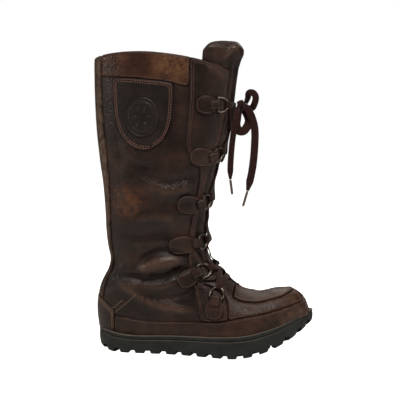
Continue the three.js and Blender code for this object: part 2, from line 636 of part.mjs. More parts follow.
// A tab: a rounded plate with a narrow neck, and the neck's fold round the ring's bar.
function makeTab({ length }, frame, side) {
  const back = (forward, up) => [
    frame.x + forward * Math.cos(frame.angle) - up * Math.sin(frame.angle),
    frame.z + forward * Math.sin(frame.angle) + up * Math.cos(frame.angle)];
  const half = [[-TAB_NECK, TAB_NECK], [2 * WIRE_RADIUS, TAB_NECK],
    ...TAB_OUTLINE.map((row) => [row.back * length, row.half * TAB_HALF])];
  const outline = [...half, ...half.map(([forward, up]) => [forward, -up]).reverse()].map((p) => back(...p));
  const beyond = new THREE.BoxGeometry(4 * TAB_HALF, 4 * TAB_HALF, 4 * TAB_HALF);
  beyond.translate(2 * TAB_HALF + WIRE_RADIUS, 0, 0);
  const place = new THREE.Matrix4().makeBasis(frame.ahead, frame.bar, frame.normal);
  beyond.applyMatrix4(place.setPosition(frame.centre));
  const plate = sidePrism(outline).intersect(halfSpace(side)).subtract(solid(beyond));
  const raised = layer(TAB_FLOOR, TAB_FLOOR + OVERLAY).intersect(plate);
  const barRod = (radius, width) => {
    const rod = new THREE.CylinderGeometry(radius, radius, width, ROD_SIDES);
    rod.applyMatrix4(new THREE.Matrix4().makeBasis(frame.lean, frame.bar, frame.lean.clone().cross(frame.bar))
      .setPosition(frame.centre));
    return solid(rod);
  };
  const fold = barRod(WIRE_RADIUS + GAP + FOLD_LEATHER, FOLD_WIDTH);
  return raised.add(fold).subtract(form(TAB_FLOOR)).subtract(barRod(WIRE_RADIUS + GAP, 2 * FOLD_WIDTH));
}

// A flat lace along points, its flat side facing the given directions.
function ribbon(points, facings) {
  const curve = new THREE.CatmullRomCurve3(points);
  const face = new THREE.CatmullRomCurve3(facings);
  const steps = points.length - 1;
  const rings = Array.from({ length: steps + 1 }, (_, i) => {
    const point = curve.getPoint(i / steps);
    const tangent = curve.getTangent(i / steps);
    const across = tangent.clone().cross(face.getPoint(i / steps)).normalize();
    const out = across.clone().cross(tangent).normalize();
    return [[1, -1], [-1, -1], [-1, 1], [1, 1]].map(([a, b]) => point.clone()
      .addScaledVector(across, (a * LACE_WIDTH) / 2).addScaledVector(out, (b * LACE_THICKNESS) / 2));
  });
  return solid(capped(rings));
}

// Lace crossings: crosswise from ring to ring up the tongue, with a bar below and one under the knot.
// Each starts over a ring's hole, passes over its wire and dips to the middle of the tongue.
function crossing(from, to) {
  const over = ({ centre, lean, bar }, reach) => {
    const normal = lean.clone().cross(bar);
    return { point: centre.clone().addScaledVector(lean, reach).addScaledVector(normal, LACE_LIFT), normal };
  };
  const [start, end] = [over(from, LACE_OVERRUN), over(to, LACE_OVERRUN)];
  const along = (share) => start.point.clone().lerp(end.point, share);
  const between = [0.3, 0.5, 0.7].map((share) => onFront(along(share), LACE_REST));
  const route = [over(from, LACE_START), start, ...between, end, over(to, LACE_START)];
  return ribbon(route.map((place) => place.point), route.map((place) => place.normal));
}

function makeCrossings(frames) {
  const [lateral, medial] = frames;
  const crosses = lateral.slice(1).flatMap((frame, i) => [
    crossing(frame, medial[i]), crossing(lateral[i], medial[i + 1])]);
  return joined([...crosses, crossing(lateral[0], medial[0]), crossing(lateral.at(-1), medial.at(-1))]);
}

// Knot, bow and ends, at places from the knot's middle; they hang free in front of the tongue.
const CORD_ROUTES = {
  bow_loop_small: { flat: 'sideways', points: [
    [6.16, -1.7, 2.74], [9, -5, 9], [11, -9, 15.5], [17, -10, 15], [20, -9.5, 8], [15, -5, -4],
    [6.4, -1.8, -2.1]] },
  bow_loop_broad: { flat: 'sideways', points: [
    [-1.85, -2.1, -6.25], [-4.5, -8, -16], [-5.5, -12, -27], [-1.5, -13, -34], [6, -12, -33], [11, -8, -20],
    [3.1, -2.1, -5.9]] },
  lace_end_long: { flat: 'facing', points: [
    [3.6, -6.8, -1.6], [9, -12, -5], [15, -12.5, -16], [19, -10.5, -33], [18.5, -9.5, -59], [15.5, -8.5, -86],
    [9.5, -7.5, -113]] },
  lace_end_short: { flat: 'facing', points: [
    [-3.9, -6.9, -3.1], [-4.4, -14, -10], [-5.5, -18, -24], [-9.5, -17, -45], [-12.5, -13.5, -76],
    [-13, -12, -98]] },
};
const AGLETS = {
  aglet_long: [[9.42, -7.48, -113.4], [3.4, -6.9, -134]],
  aglet_short: [[-12.95, -11.97, -98.6], [-10.5, -11, -118]],
};

function cordSolid(points, flat, knot) {
  const curve = new THREE.CatmullRomCurve3(points.map((p) => knot.clone().add(new THREE.Vector3(...p))));
  const halfWidth = (CORD_FULLNESS * LACE_WIDTH) / 2;
  const [inPlane, across] = flat === 'facing' ? [halfWidth, LACE_THICKNESS] : [LACE_THICKNESS, halfWidth];
  const section = new THREE.Shape(Array.from({ length: ROD_SIDES }, (_, i) => {
    const turn = (2 * Math.PI * (i + 0.5)) / ROD_SIDES;
    return new THREE.Vector2(inPlane * Math.cos(turn), across * Math.sin(turn));
  }));
  const steps = Math.round(curve.getLength() / CORD_PITCH);
  return solid(new THREE.ExtrudeGeometry(section, { steps, bevelEnabled: false, extrudePath: curve }));
}

function agletSolid([top, foot], knot) {
  const ends = [top, foot].map((p) => knot.clone().add(new THREE.Vector3(...p)));
  const path = new THREE.LineCurve3(ends[0], ends[1]);
  const section = new THREE.Shape(Array.from({ length: ROD_SIDES }, (_, i) => {
    const turn = (2 * Math.PI * i) / ROD_SIDES;
    return new THREE.Vector2(AGLET_RADIUS * Math.cos(turn), AGLET_RADIUS * Math.sin(turn));
  }));
  return solid(new THREE.ExtrudeGeometry(section, { steps: 1, bevelEnabled: false, extrudePath: path }));
}

function knotSolid(knot) {
  const ball = new THREE.SphereGeometry(KNOT_SIZE / 2, 9, 6);
  ball.scale(1, 1.2, 0.9);
  ball.translate(knot.x, knot.y, knot.z);
  return solid(ball);
}

const material = (color, roughness, metalness = 0) =>
  new THREE.MeshStandardMaterial({ color, roughness, metalness });
const DARK_LEATHER = material('#3a2620', 0.55);
const LIGHT_LEATHER = material('#5b3a2a', 0.5);
const RAND_LEATHER = material('#4a2c22', 0.55);
const RUBBER = material('#23282a', 0.8);
const LINING = material('#4a3f36', 0.9);
const STEEL = material('#b9b9bb', 0.25, 1);
const LACE = material('#3b1f1e', 0.85);

const boot = new THREE.Group();
function piece(name, body, look) {
  const mesh = new THREE.Mesh(body.isBufferGeometry ? body : geometryOf(body), look);
  mesh.name = name;
  boot.add(mesh);
}

piece('outsole', makeOutsole(), RUBBER);
piece('insole', makeInsole(), LINING);
piece('upper', makeUpper(), DARK_LEATHER);
piece('tongue', makeTongue(), DARK_LEATHER);
piece('rand', makeRand(), RAND_LEATHER);
piece('heel_counter', makeHeelCounter(), RAND_LEATHER);
piece('vamp', makeVamp(), RAND_LEATHER);
piece('apron', makeApron(), RAND_LEATHER);
piece('back_strip', makeBackStrip(), DARK_LEATHER);
piece('side_patch', makePatch(), DARK_LEATHER);
piece('badge', makeBadge(), DARK_LEATHER);

const ringFrames = [-1, 1].map((side) => RING_ROWS.map((row) => ringFrame(row, side)));
['lateral', 'medial'].forEach((label, k) => {
  const side = 2 * k - 1;
  piece(`collar_band_${label}`, makeCollarBand(side), LIGHT_LEATHER);
  piece(`eyestay_${label}`, makeEyestay(side), DARK_LEATHER);
  ringFrames[k].forEach((frame, i) => {
    piece(`ring_${label}_${i + 1}`, ringSolid(frame, WIRE_RADIUS), STEEL);
    piece(`tab_${label}_${i + 1}`, makeTab(RING_ROWS[i], frame, side), DARK_LEATHER);
  });
});

piece('lace_crossings', makeCrossings(ringFrames), LACE);
const topFan = ringFrames[0][0].fan;
const KNOT = offsetPoint(topFan, 0, LACE_REST + LACE_THICKNESS / 2 + 2 * GAP + KNOT_SIZE / 2).setY(0);
piece('lace_knot', knotSolid(KNOT), LACE);
Object.entries(CORD_ROUTES).forEach(([name, { flat, points }]) => {
  piece(name, cordSolid(points, flat, KNOT), LACE);
});
Object.entries(AGLETS).forEach(([name, ends]) => piece(name, agletSolid(ends, KNOT), STEEL));

export default boot;
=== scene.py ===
import math

import bmesh
import bpy
import numpy as np
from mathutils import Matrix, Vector


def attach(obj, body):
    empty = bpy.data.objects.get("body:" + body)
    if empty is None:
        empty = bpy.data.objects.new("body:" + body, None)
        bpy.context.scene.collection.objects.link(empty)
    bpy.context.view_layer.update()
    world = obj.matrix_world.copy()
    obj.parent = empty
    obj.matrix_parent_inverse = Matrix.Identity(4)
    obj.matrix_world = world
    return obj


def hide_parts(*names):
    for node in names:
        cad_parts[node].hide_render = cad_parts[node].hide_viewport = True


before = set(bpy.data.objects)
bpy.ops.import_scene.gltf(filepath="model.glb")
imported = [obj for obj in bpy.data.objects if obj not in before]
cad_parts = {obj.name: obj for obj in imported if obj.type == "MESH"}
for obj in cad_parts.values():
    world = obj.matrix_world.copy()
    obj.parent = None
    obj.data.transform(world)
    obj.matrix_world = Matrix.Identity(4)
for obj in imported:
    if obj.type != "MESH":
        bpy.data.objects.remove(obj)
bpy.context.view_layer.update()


# The view: the boot seen from its outer side, turned nine degrees to the toe. The lens is a long one,
# a metre away, so that the boot stands nearly without perspective.
def linked(name, data):
    """An object of the scene."""
    made = bpy.data.objects.new(name, data)
    bpy.context.scene.collection.objects.link(made)
    return made


camera = linked("camera", bpy.data.cameras.new("camera"))
camera.location = (0.27317, -1.06177, 0.272)
camera.rotation_euler = (math.radians(90 - 3.648), 0, math.radians(9))
camera.data.sensor_width = 36
camera.data.lens = 72
camera.data.shift_x = -1.3 / 400
camera.data.clip_start = 0.05
bpy.context.scene.camera = camera


def linear(hex_colour):
    """One sRGB hex colour as linear red, green, blue and alpha."""
    parts = [int(hex_colour[i:i + 2], 16) / 255 for i in (1, 3, 5)]
    return [c / 12.92 if c <= 0.04045 else ((c + 0.055) / 1.055) ** 2.4 for c in parts] + [1]


def feed(tree, node, inputs):
    """Sets a node's inputs; each is a value or another node's socket."""
    for name, value in inputs.items():
        if isinstance(value, bpy.types.NodeSocket):
            tree.links.new(value, node.inputs[name])
        else:
            node.inputs[name].default_value = value


def add(tree, kind, inputs=None, **settings):
    """Adds a node with its settings and inputs."""
    made = tree.nodes.new(kind)
    for name, value in settings.items():
        setattr(made, name, value)
    feed(tree, made, inputs or {})
    return made


def new_material(name):
    """A material and its node tree."""
    made = bpy.data.materials.new(name)
    made.use_nodes = True
    return made, made.node_tree


def surface(tree, inputs):
    feed(tree, tree.nodes["Principled BSDF"], inputs)


# Floor and light: a pale studio floor that runs into a white background, under wide soft lamps. The
# main lamp stands above and in front, weaker ones at both sides and behind.
floor_mesh = bpy.data.meshes.new("floor")
floor_mesh.from_pydata([(-9, -9, 0), (9, -9, 0), (9, 9, 0), (-9, 9, 0)], [], [(0, 1, 2, 3)])
floor = linked("floor", floor_mesh)
paper, tree = new_material("studio_paper")
to_camera = add(tree, "ShaderNodeLightPath").outputs["Is Camera Ray"]
backlight = add(tree, "ShaderNodeMath", {0: to_camera, 1: 1.15}, operation="MULTIPLY")
surface(tree, {"Base Color": linear("#f4f3f1"), "Roughness": 0.95, "Specular IOR Level": 0.0,
               "Emission Color": linear("#ffffff"), "Emission Strength": backlight.outputs["Value"]})
floor_mesh.materials.append(paper)

world = bpy.data.worlds.new("studio")
bpy.context.scene.world = world
world.use_nodes = True
tree = world.node_tree
seen = add(tree, "ShaderNodeLightPath").outputs["Is Camera Ray"]
glow = add(tree, "ShaderNodeMapRange", {"Value": seen, "To Min": 0.04, "To Max": 1.0})
feed(tree, tree.nodes["Background"], {"Color": linear("#ffffff"), "Strength": glow.outputs["Result"]})
bpy.context.scene.view_settings.view_transform = "Standard"
LAMPS = [  # name, place, what it points at, size, watts
    ("key_lamp", (0.25, -0.9, 1.8), (0.08, 0.0, 0.12), 0.6, 24),
    ("side_lamp", (-1.5, -0.7, 0.8), (0.0, 0.0, 0.2), 0.4, 7),
    ("toe_lamp", (1.6, -0.5, 0.7), (0.1, 0.0, 0.15), 0.4, 5),
    ("back_lamp", (0.2, 1.5, 1.4), (0.05, 0.0, 0.2), 1.2, 9),
]
for name, place, target, size, watts in LAMPS:
    lamp = linked(name, bpy.data.lights.new(name, "AREA"))
    lamp.location = place
    lamp.rotation_euler = (Vector(target) - Vector(place)).to_track_quat("-Z", "Y").to_euler()
    lamp.data.size = size
    lamp.data.energy = watts
    lamp.data.color = (1.0, 0.93, 0.86)


# The last: the shape that the leather was pulled over, in a fan of sections from the toe round the
# heel and up the shaft. Each section runs from a back point to a front point, with a half width, a
# middle and a ridge sideways, the place of its widest point and its squareness; sizes are in mm.
SOLE_LENGTH, HEEL_REACH, BALL_WIDTH = 292, 37, 104
INSTEP_HEIGHT, SHAFT_HEIGHT, SHAFT_DEPTH, SHAFT_WIDTH = 150, 399, 190, 77


def along_foot(share):
    return share * SOLE_LENGTH - HEEL_REACH


def along_shaft(share):
    return share * SHAFT_DEPTH - HEEL_REACH


FOOT_SECTIONS = [
    [0.983, 0.335, 0.983, 0.335, 0.077, 0.000, 0.077, 0.55, 2.3],
    [0.976, 0.250, 0.974, 0.395, 0.077, 0.125, 0.077, 0.55, 2.4],
    [0.960, 0.205, 0.958, 0.470, 0.077, 0.205, 0.077, 0.56, 2.5],
    [0.932, 0.165, 0.931, 0.530, 0.063, 0.270, 0.063, 0.52, 2.5],
    [0.887, 0.113, 0.887, 0.563, 0.048, 0.356, 0.058, 0.47, 2.5],
    [0.822, 0.053, 0.822, 0.560, 0.019, 0.414, 0.038, 0.45, 2.5],
    [0.743, 0.000, 0.743, 0.537, 0.000, 0.442, 0.019, 0.45, 2.45],
    [0.661, -0.027, 0.668, 0.567, -0.019, 0.438, 0.010, 0.42, 2.35],
    [0.582, -0.053, 0.599, 0.680, -0.029, 0.398, 0.000, 0.40, 2.25],
    [0.497, -0.067, 0.541, 0.780, -0.034, 0.350, 0.000, 0.38, 2.2],
]
HEEL_SECTIONS = [
    [0.605, -0.080, 0.789, 0.873, -0.037, 0.428, 0, 0.37, 2.2],
    [0.405, -0.093, 0.774, 0.953, -0.019, 0.425, 0, 0.38, 2.2],
    [0.221, -0.067, 0.771, 1.013, -0.006, 0.445, 0, 0.40, 2.25],
    [0.079, 0.013, 0.774, 1.067, 0, 0.465, 0, 0.42, 2.3],
    [0.021, 0.147, 0.774, 1.107, 0, 0.458, 0, 0.44, 2.35],
    [0.000, 0.320, 0.774, 1.147, 0, 0.461, 0, 0.46, 2.4],
    [0.003, 0.453, 0.776, 1.193, 0, 0.455, 0, 0.47, 2.4],
    [0.037, 0.600, 0.782, 1.247, 0, 0.455, 0, 0.48, 2.4],
]
SHAFT_SECTIONS = [
    [0.089, 0.273, 0.787, 0.489, 0, 0.461, 0, 0.49, 2.45],
    [0.105, 0.311, 0.795, 0.509, 0, 0.474, 0, 0.50, 2.5],
    [0.089, 0.351, 0.805, 0.534, 0, 0.487, 0, 0.50, 2.5],
    [0.076, 0.406, 0.821, 0.569, 0, 0.494, 0, 0.50, 2.55],
    [0.071, 0.471, 0.847, 0.619, 0, 0.500, 0, 0.50, 2.6],
    [0.058, 0.556, 0.889, 0.677, 0, 0.500, 0, 0.50, 2.65],
    [0.034, 0.644, 0.932, 0.739, 0, 0.500, 0, 0.50, 2.7],
    [0.011, 0.747, 0.963, 0.817, 0, 0.500, 0, 0.50, 2.7],
    [0.000, 0.852, 0.984, 0.900, 0, 0.500, 0, 0.50, 2.7],
    [-0.003, 0.947, 1.005, 0.972, 0, 0.500, 0, 0.50, 2.7],
    [-0.003, 1.055, 1.021, 1.065, 0, 0.500, 0, 0.50, 2.7],
]


def sized(rows, along, height, width):
    return [[along(a), b * height, along(c), d * height, e * width, f * width, g * width, h, i]
            for a, b, c, d, e, f, g, h, i in rows]


SECTIONS = np.array(
    sized(FOOT_SECTIONS, along_foot, INSTEP_HEIGHT, BALL_WIDTH)
    + sized(HEEL_SECTIONS, along_shaft, INSTEP_HEIGHT, SHAFT_WIDTH)
    + sized(SHAFT_SECTIONS, along_shaft, SHAFT_HEIGHT, SHAFT_WIDTH))
LAST_SECTION = len(SECTIONS) - 1


def smooth_rows(rows, at):
    """A smooth curve through the rows, with equal steps between them."""
    last = len(rows) - 1
    i = np.clip(np.floor(at).astype(int), 0, last - 1)
    t = (at - i)[..., None]
    a, b, c, d = (rows[np.clip(i + k, 0, last)] for k in (-1, 0, 1, 2))
    return b + 0.5 * t * (c - a + t * (2 * a - 5 * b + 4 * c - d + t * (3 * (b - c) + d - a)))


def last_point(fan, turn):
    """A point of the last: fan counts sections from the toe, turn starts at the front ridge."""
    row = smooth_rows(SECTIONS, fan)
    back_x, back_z, front_x, front_z, middle, half, crest, widest, full = np.moveaxis(row, -1, 0)
    half = np.maximum(half, 0)

    def power(value):
        return np.sign(value) * np.abs(value) ** (2 / full)

    along, across = power(np.cos(turn)), power(np.sin(turn))
    share = np.where(along > 0, widest + along * (1 - widest), widest * (1 + along))
    ridge = (crest - middle) * np.maximum(0, along) ** 2
    return np.stack([back_x + share * (front_x - back_x), middle - half * across + ridge,
                     back_z + share * (front_z - back_z)], axis=-1)


def last_normal(fan, turn):
    step = 0.004
    up = last_point(np.minimum(fan + step, LAST_SECTION), turn) - last_point(fan - step, turn)
    round_ = last_point(fan, turn + step) - last_point(fan, turn - step)
    normal = np.cross(up, round_)
    return normal / np.maximum(np.linalg.norm(normal, axis=-1, keepdims=True), 1e-12)


# Creases: walking has set these into the leather. Each is a line in the side view, with a half width
# and a height in mm, a trough where the height is negative, on the outer side, the inner one or both.
CREASES = [
    ([(22, 116), (33, 128), (50, 136), (73, 137), (92, 130)], 4.2, -4.4, "outer"),
    ([(26, 113), (44, 117), (60, 123), (84, 125)], 7.0, 6.4, "outer"),
    ([(-8, 105), (18, 102), (39, 99), (60, 102), (81, 111), (100, 117)], 4.6, -6.4, "outer"),
    ([(2, 94), (30, 91), (55, 90), (80, 97)], 5.0, 2.4, "outer"),
    ([(14, 84), (35, 80), (56, 76), (81, 79), (100, 88)], 4.2, -2.6, "outer"),
    ([(-4, 94), (14, 85), (33, 74), (56, 64), (84, 60), (106, 60)], 4.4, 4.2, "outer"),
    ([(-22, 82), (-12, 92), (-8, 110)], 5.0, -1.6, "outer"),
    ([(15, 243), (41, 238), (64, 228), (88, 233), (110, 239)], 5.5, -1.9, "outer"),
    ([(30, 228), (46, 222), (62, 216), (86, 219), (100, 225)], 6.5, 2.3, "outer"),
    ([(60, 206), (80, 199), (98, 206)], 5.0, -1.6, "outer"),
    ([(-4, 264), (22, 252), (52, 247)], 5.0, -1.5, "outer"),
    ([(20, 178), (48, 184), (78, 180)], 7.0, 1.9, "outer"),
    ([(-2, 160), (30, 158), (60, 164), (84, 160)], 6.0, -1.8, "outer"),
    ([(10, 146), (40, 148), (70, 152)], 5.0, 1.4, "outer"),
    ([(-8, 200), (14, 206), (36, 198)], 8.0, 1.5, "outer"),
    ([(0, 300), (-2, 270), (4, 240)], 7.0, -1.0, "outer"),
    ([(30, 384), (34, 366)], 4.0, 0.9, "outer"),
    ([(72, 388), (70, 366)], 4.0, -0.9, "outer"),
    ([(108, 386), (107, 372), (112, 360)], 4.0, -1.4, "outer"),
    ([(116, 378), (128, 371), (140, 360)], 4.5, 1.6, "outer"),
    ([(137, 386), (145, 398), (154, 410)], 3.2, 3.4, "outer"),
    ([(160, 66), (176, 62), (200, 66)], 5.0, -1.2, "outer"),
    ([(164, 88), (184, 88), (206, 87)], 6.0, 1.0, "both"),
    ([(20, 122), (50, 130), (80, 128)], 5.0, -3.4, "inner"),
    ([(22, 110), (55, 116), (84, 117)], 6.5, 4.2, "inner"),
    ([(-4, 100), (40, 97), (82, 106)], 5.0, -3.6, "inner"),
    ([(10, 82), (50, 76), (92, 84)], 5.0, -2.4, "inner"),
    ([(20, 236), (60, 226), (104, 232)], 6.0, -2.0, "inner"),
    ([(10, 176), (52, 180), (84, 172)], 8.0, 1.6, "inner"),
    ([(176, 78), (190, 82), (206, 80)], 4.0, -1.4, "both"),
]


def to_segment(a, b, start, end):
    """Where on a segment the nearest place lies, as a share, and how far away it is."""
    along, up = end[0] - start[0], end[1] - start[1]
    t = ((a - start[0]) * along + (b - start[1]) * up) / (along ** 2 + up ** 2 + 1e-12)
    t = np.clip(t, 0, 1)
    return t, np.hypot(a - start[0] - t * along, b - start[1] - t * up)


def crease(points):
    """How far the leather stands out from the last there, in mm."""
    total = np.zeros(points.shape[:-1])
    x, y, z = points[..., 0], points[..., 1], points[..., 2]
    for line, width, height, side in CREASES:
        nearest = np.full(x.shape, np.inf)
        ends = np.ones(x.shape)
        for i, (start, end) in enumerate(zip(line, line[1:])):
            t, away = to_segment(x, z, start, end)
            share = (i + t) / (len(line) - 1)
            fade = np.clip(4 * np.minimum(share + 0.04, 1.04 - share), 0, 1)
            ends = np.where(away < nearest, fade, ends)
            nearest = np.minimum(nearest, away)
        where = {"outer": -y, "inner": y, "both": np.full(y.shape, 99.0)}[side]
        mask = np.clip((where - 2) / 14, 0, 1)
        total += height * np.exp(-(nearest / width) ** 2) * ends * mask
    return total


def leather_point(fan, turn, offset):
    """A point at a distance outside the last, with the creases."""
    point = last_point(fan, turn)
    return point + last_normal(fan, turn) * (offset + crease(point))[..., None]


# Leather pieces are cut from the last's own surface: a field is the distance in mm inside the cut
# line, positive inside. The mesh of the surface is cut along it and given the leather's thickness.
def fan_steps(low, high, pitch):
    """Places along the fan whose sections lie about a pitch apart."""
    turns = np.linspace(0, math.pi, 9)
    places = [low]
    while places[-1] < high:
        here = np.full(turns.shape, places[-1])
        reach = np.linalg.norm(last_point(here + 0.05, turns) - last_point(here, turns), axis=-1).max() / 0.05
        places.append(min(high, places[-1] + pitch / reach))
    return np.array(places)


class Grid:
    """Places on the last, their points and how far apart they are; it may go right round."""

    def __init__(self, fans, turns):
        self.fan, self.turn = np.meshgrid(fans, turns, indexing="ij")
        self.point = last_point(self.fan, self.turn)
        self.closed = abs(turns[-1] - turns[0] - 2 * math.pi) < 1e-9
        gaps = [np.linalg.norm(np.gradient(self.point, axis=k), axis=-1) for k in (0, 1)]
        self.gaps = [np.maximum(gap, 1e-6) for gap in gaps]

    def on_surface(self, field):
        """A distance seen in one view becomes the distance along the leather."""
        slopes = [np.gradient(field, axis=k) / self.gaps[k] for k in (0, 1)]
        return field / np.clip(np.hypot(*slopes), 0.35, 1.0)

    def outline(self, points, view="side"):
        """The distance inside a closed outline in the side, front or top view."""
        columns = {"side": (0, 2), "front": (1, 2), "top": (0, 1)}[view]
        a, b = (self.point[..., k] for k in columns)
        nearest = np.full(a.shape, np.inf)
        inside = np.zeros(a.shape, bool)
        for (a0, b0), (a1, b1) in zip(points, points[1:] + points[:1]):
            nearest = np.minimum(nearest, to_segment(a, b, (a0, b0), (a1, b1))[1])
            crosses = (b0 > b) != (b1 > b)
            inside ^= crosses & (a < (a1 - a0) * (b - b0) / (b1 - b0 if b1 != b0 else 1e-12) + a0)
        return self.on_surface(np.where(inside, nearest, -nearest))

    def above(self, height):
        return self.on_surface(self.point[..., 2] - height(self.point[..., 0]))

    def corners(self, i, j):
        """The four corners of a cell: key, fan and turn."""
        around = self.fan.shape[1] - 1 if self.closed else 10 ** 9
        return [((a, b % around), self.fan[a, b], self.turn[a, b])
                for a, b in ((i, j), (i + 1, j), (i + 1, j + 1), (i, j + 1))]


BEVEL = 0.8


def cut(grid, field):
    """Cells inside the field's zero line, also split at the bevel: places, distances and polygons."""
    keys, fan, turn, far = {}, [], [], []

    def vertex(key, place, distance):
        if key not in keys:
            keys[key] = len(fan)
            fan.append(place[0])
            turn.append(place[1])
            far.append(distance)
        return keys[key]

    def split(ring, level):
        """A polygon's parts above and below a level; corners are key, place and distance."""
        high, low = [], []
        for one, two in zip(ring, ring[1:] + ring[:1]):
            (high if one[2] >= level else low).append(one)
            if (one[2] >= level) != (two[2] >= level):
                t = (level - one[2]) / (two[2] - one[2])
                place = [p + t * (q - p) for p, q in zip(one[1], two[1])]
                middle = (tuple(sorted([one[0], two[0]], key=str)) + (level,), place, level)
                high.append(middle)
                low.append(middle)
        return high, low

    corner = [field[:-1, :-1], field[1:, :-1], field[1:, 1:], field[:-1, 1:]]
    low, high = np.minimum.reduce(corner), np.maximum.reduce(corner)
    faces = []
    for i, j in zip(*np.nonzero(high > 0)):
        values = [c[i, j] for c in corner]
        ring = [(key, (f, t), value) for (key, f, t), value in zip(grid.corners(i, j), values)]
        if low[i, j] < 0:
            ring = split(ring, 0.0)[0]
        parts = [ring]
        inner = [c[2] for c in ring]
        if inner and min(inner) < BEVEL < max(inner):
            parts = split(ring, BEVEL)
        for part in parts:
            ids = []
            for key, place, distance in part:
                index = vertex(key, place, distance)
                if index not in ids:
                    ids.append(index)
            if len(ids) > 2:
                faces.append(ids)
    return np.array(fan), np.array(turn), np.array(far), faces


def unit(rows):
    return rows / np.linalg.norm(rows, axis=-1, keepdims=True)


def run_along(line):
    """How far along a line each of its points lies."""
    return np.concatenate([[0], np.cumsum(np.linalg.norm(np.diff(line, axis=0), axis=1))])


def wall_faces(rings, count, closed=False):
    """The quads between rings of equally many points."""
    quads = []
    for i in range(rings if closed else rings - 1):
        a, b = i * count, (i + 1) % rings * count
        quads += [(a + k, a + (k + 1) % count, b + (k + 1) % count, b + k) for k in range(count)]
    return quads


def make_mesh(name, points, faces, marks=None):
    """A smooth mesh from points in mm, with a number on each point for every mark."""
    mesh = bpy.data.meshes.new(name)
    mesh.from_pydata([tuple(p) for p in np.asarray(points) * 0.001], [], faces)
    for mark, values in (marks or {}).items():
        mesh.attributes.new(mark, "FLOAT", "POINT").data.foreach_set("value", np.asarray(values, np.float32))
    mesh.shade_smooth()
    return linked(name, mesh)


def leather_piece(name, grid, field, inner, outer, relief=None):
    """A piece of leather between two distances from the last, with rounded cut edges."""
    fan, turn, far, faces = cut(grid, field)
    count = len(fan)
    edge = np.clip(far / BEVEL, 0, 1)
    height = outer - 0.35 * (outer - inner) * (1 - edge)
    if relief is not None:
        height = height + relief(fan, turn, far)
    top = leather_point(fan, turn, height)
    under = leather_point(fan, turn, np.full(count, float(inner)))
    sides = dict.fromkeys(pair for face in faces for pair in zip(face, face[1:] + face[:1]))
    rim = [(a, b) for a, b in sides if (b, a) not in sides]
    every = faces + [[count + k for k in reversed(face)] for face in faces]
    every += [(b, a, count + a, count + b) for a, b in rim]
    fold = crease(last_point(fan, turn))
    made = make_mesh(name, np.vstack([top, under]), every, {
        "edge": np.concatenate([far, far * 0]), "fold": np.concatenate([fold, fold])})
    made.data.validate()
    return made


def finish(made, material, slot, *nodes):
    """Gives a piece its material, if it has none yet, and its place in the model."""
    if material:
        made.data.materials.append(material)
    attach(made, "root")
    if nodes:
        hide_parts(*nodes)
    return made


SEAM_MARGIN = 2.4  # mm from a piece's edge to its seam


def noise(tree, place, scale, **more):
    """A noise pattern's value, with its other inputs by name."""
    inputs = {key.capitalize(): value for key, value in more.items()}
    return add(tree, "ShaderNodeTexNoise", {"Vector": place, "Scale": scale} | inputs).outputs["Fac"]


def spread(tree, value, source, target, **settings):
    """A value carried from one range to another."""
    ranges = dict(zip(("From Min", "From Max", "To Min", "To Max"), source + target))
    return add(tree, "ShaderNodeMapRange", {"Value": value} | ranges, **settings).outputs["Result"]


def maths(tree, operation, *values):
    return add(tree, "ShaderNodeMath", dict(enumerate(values)), operation=operation).outputs["Value"]


def blend(tree, factor, one, other):
    inputs = {"Factor": factor, "A": one, "B": other}
    return add(tree, "ShaderNodeMix", inputs, data_type="RGBA").outputs["Result"]


def dimmed(tree, colour, factor):
    inputs = {0: colour, 3: factor}
    return add(tree, "ShaderNodeVectorMath", inputs, operation="SCALE").outputs["Vector"]


def in_place(tree):
    return add(tree, "ShaderNodeTexCoord").outputs["Object"]


def read_marks(tree, *names):
    """The numbers that a mesh carries on its points."""
    return [add(tree, "ShaderNodeAttribute", attribute_name=name).outputs["Fac"] for name in names]


def bump(tree, height, strength, distance, **below):
    inputs = {"Height": height, "Strength": strength, "Distance": distance}
    return add(tree, "ShaderNodeBump", inputs | below).outputs["Normal"]


def ramp(tree, value, *stops):
    """A colour for a value; a stop is a value and its colour."""
    made = add(tree, "ShaderNodeValToRGB", {"Fac": value})
    elements = made.color_ramp.elements
    for k, (at, colour) in ((0, stops[0]), (1, stops[-1])):
        elements[k].position = at
        elements[k].color = linear(colour)
    for at, colour in stops[1:-1]:
        elements.new(at).color = linear(colour)
    return made.outputs["Color"]


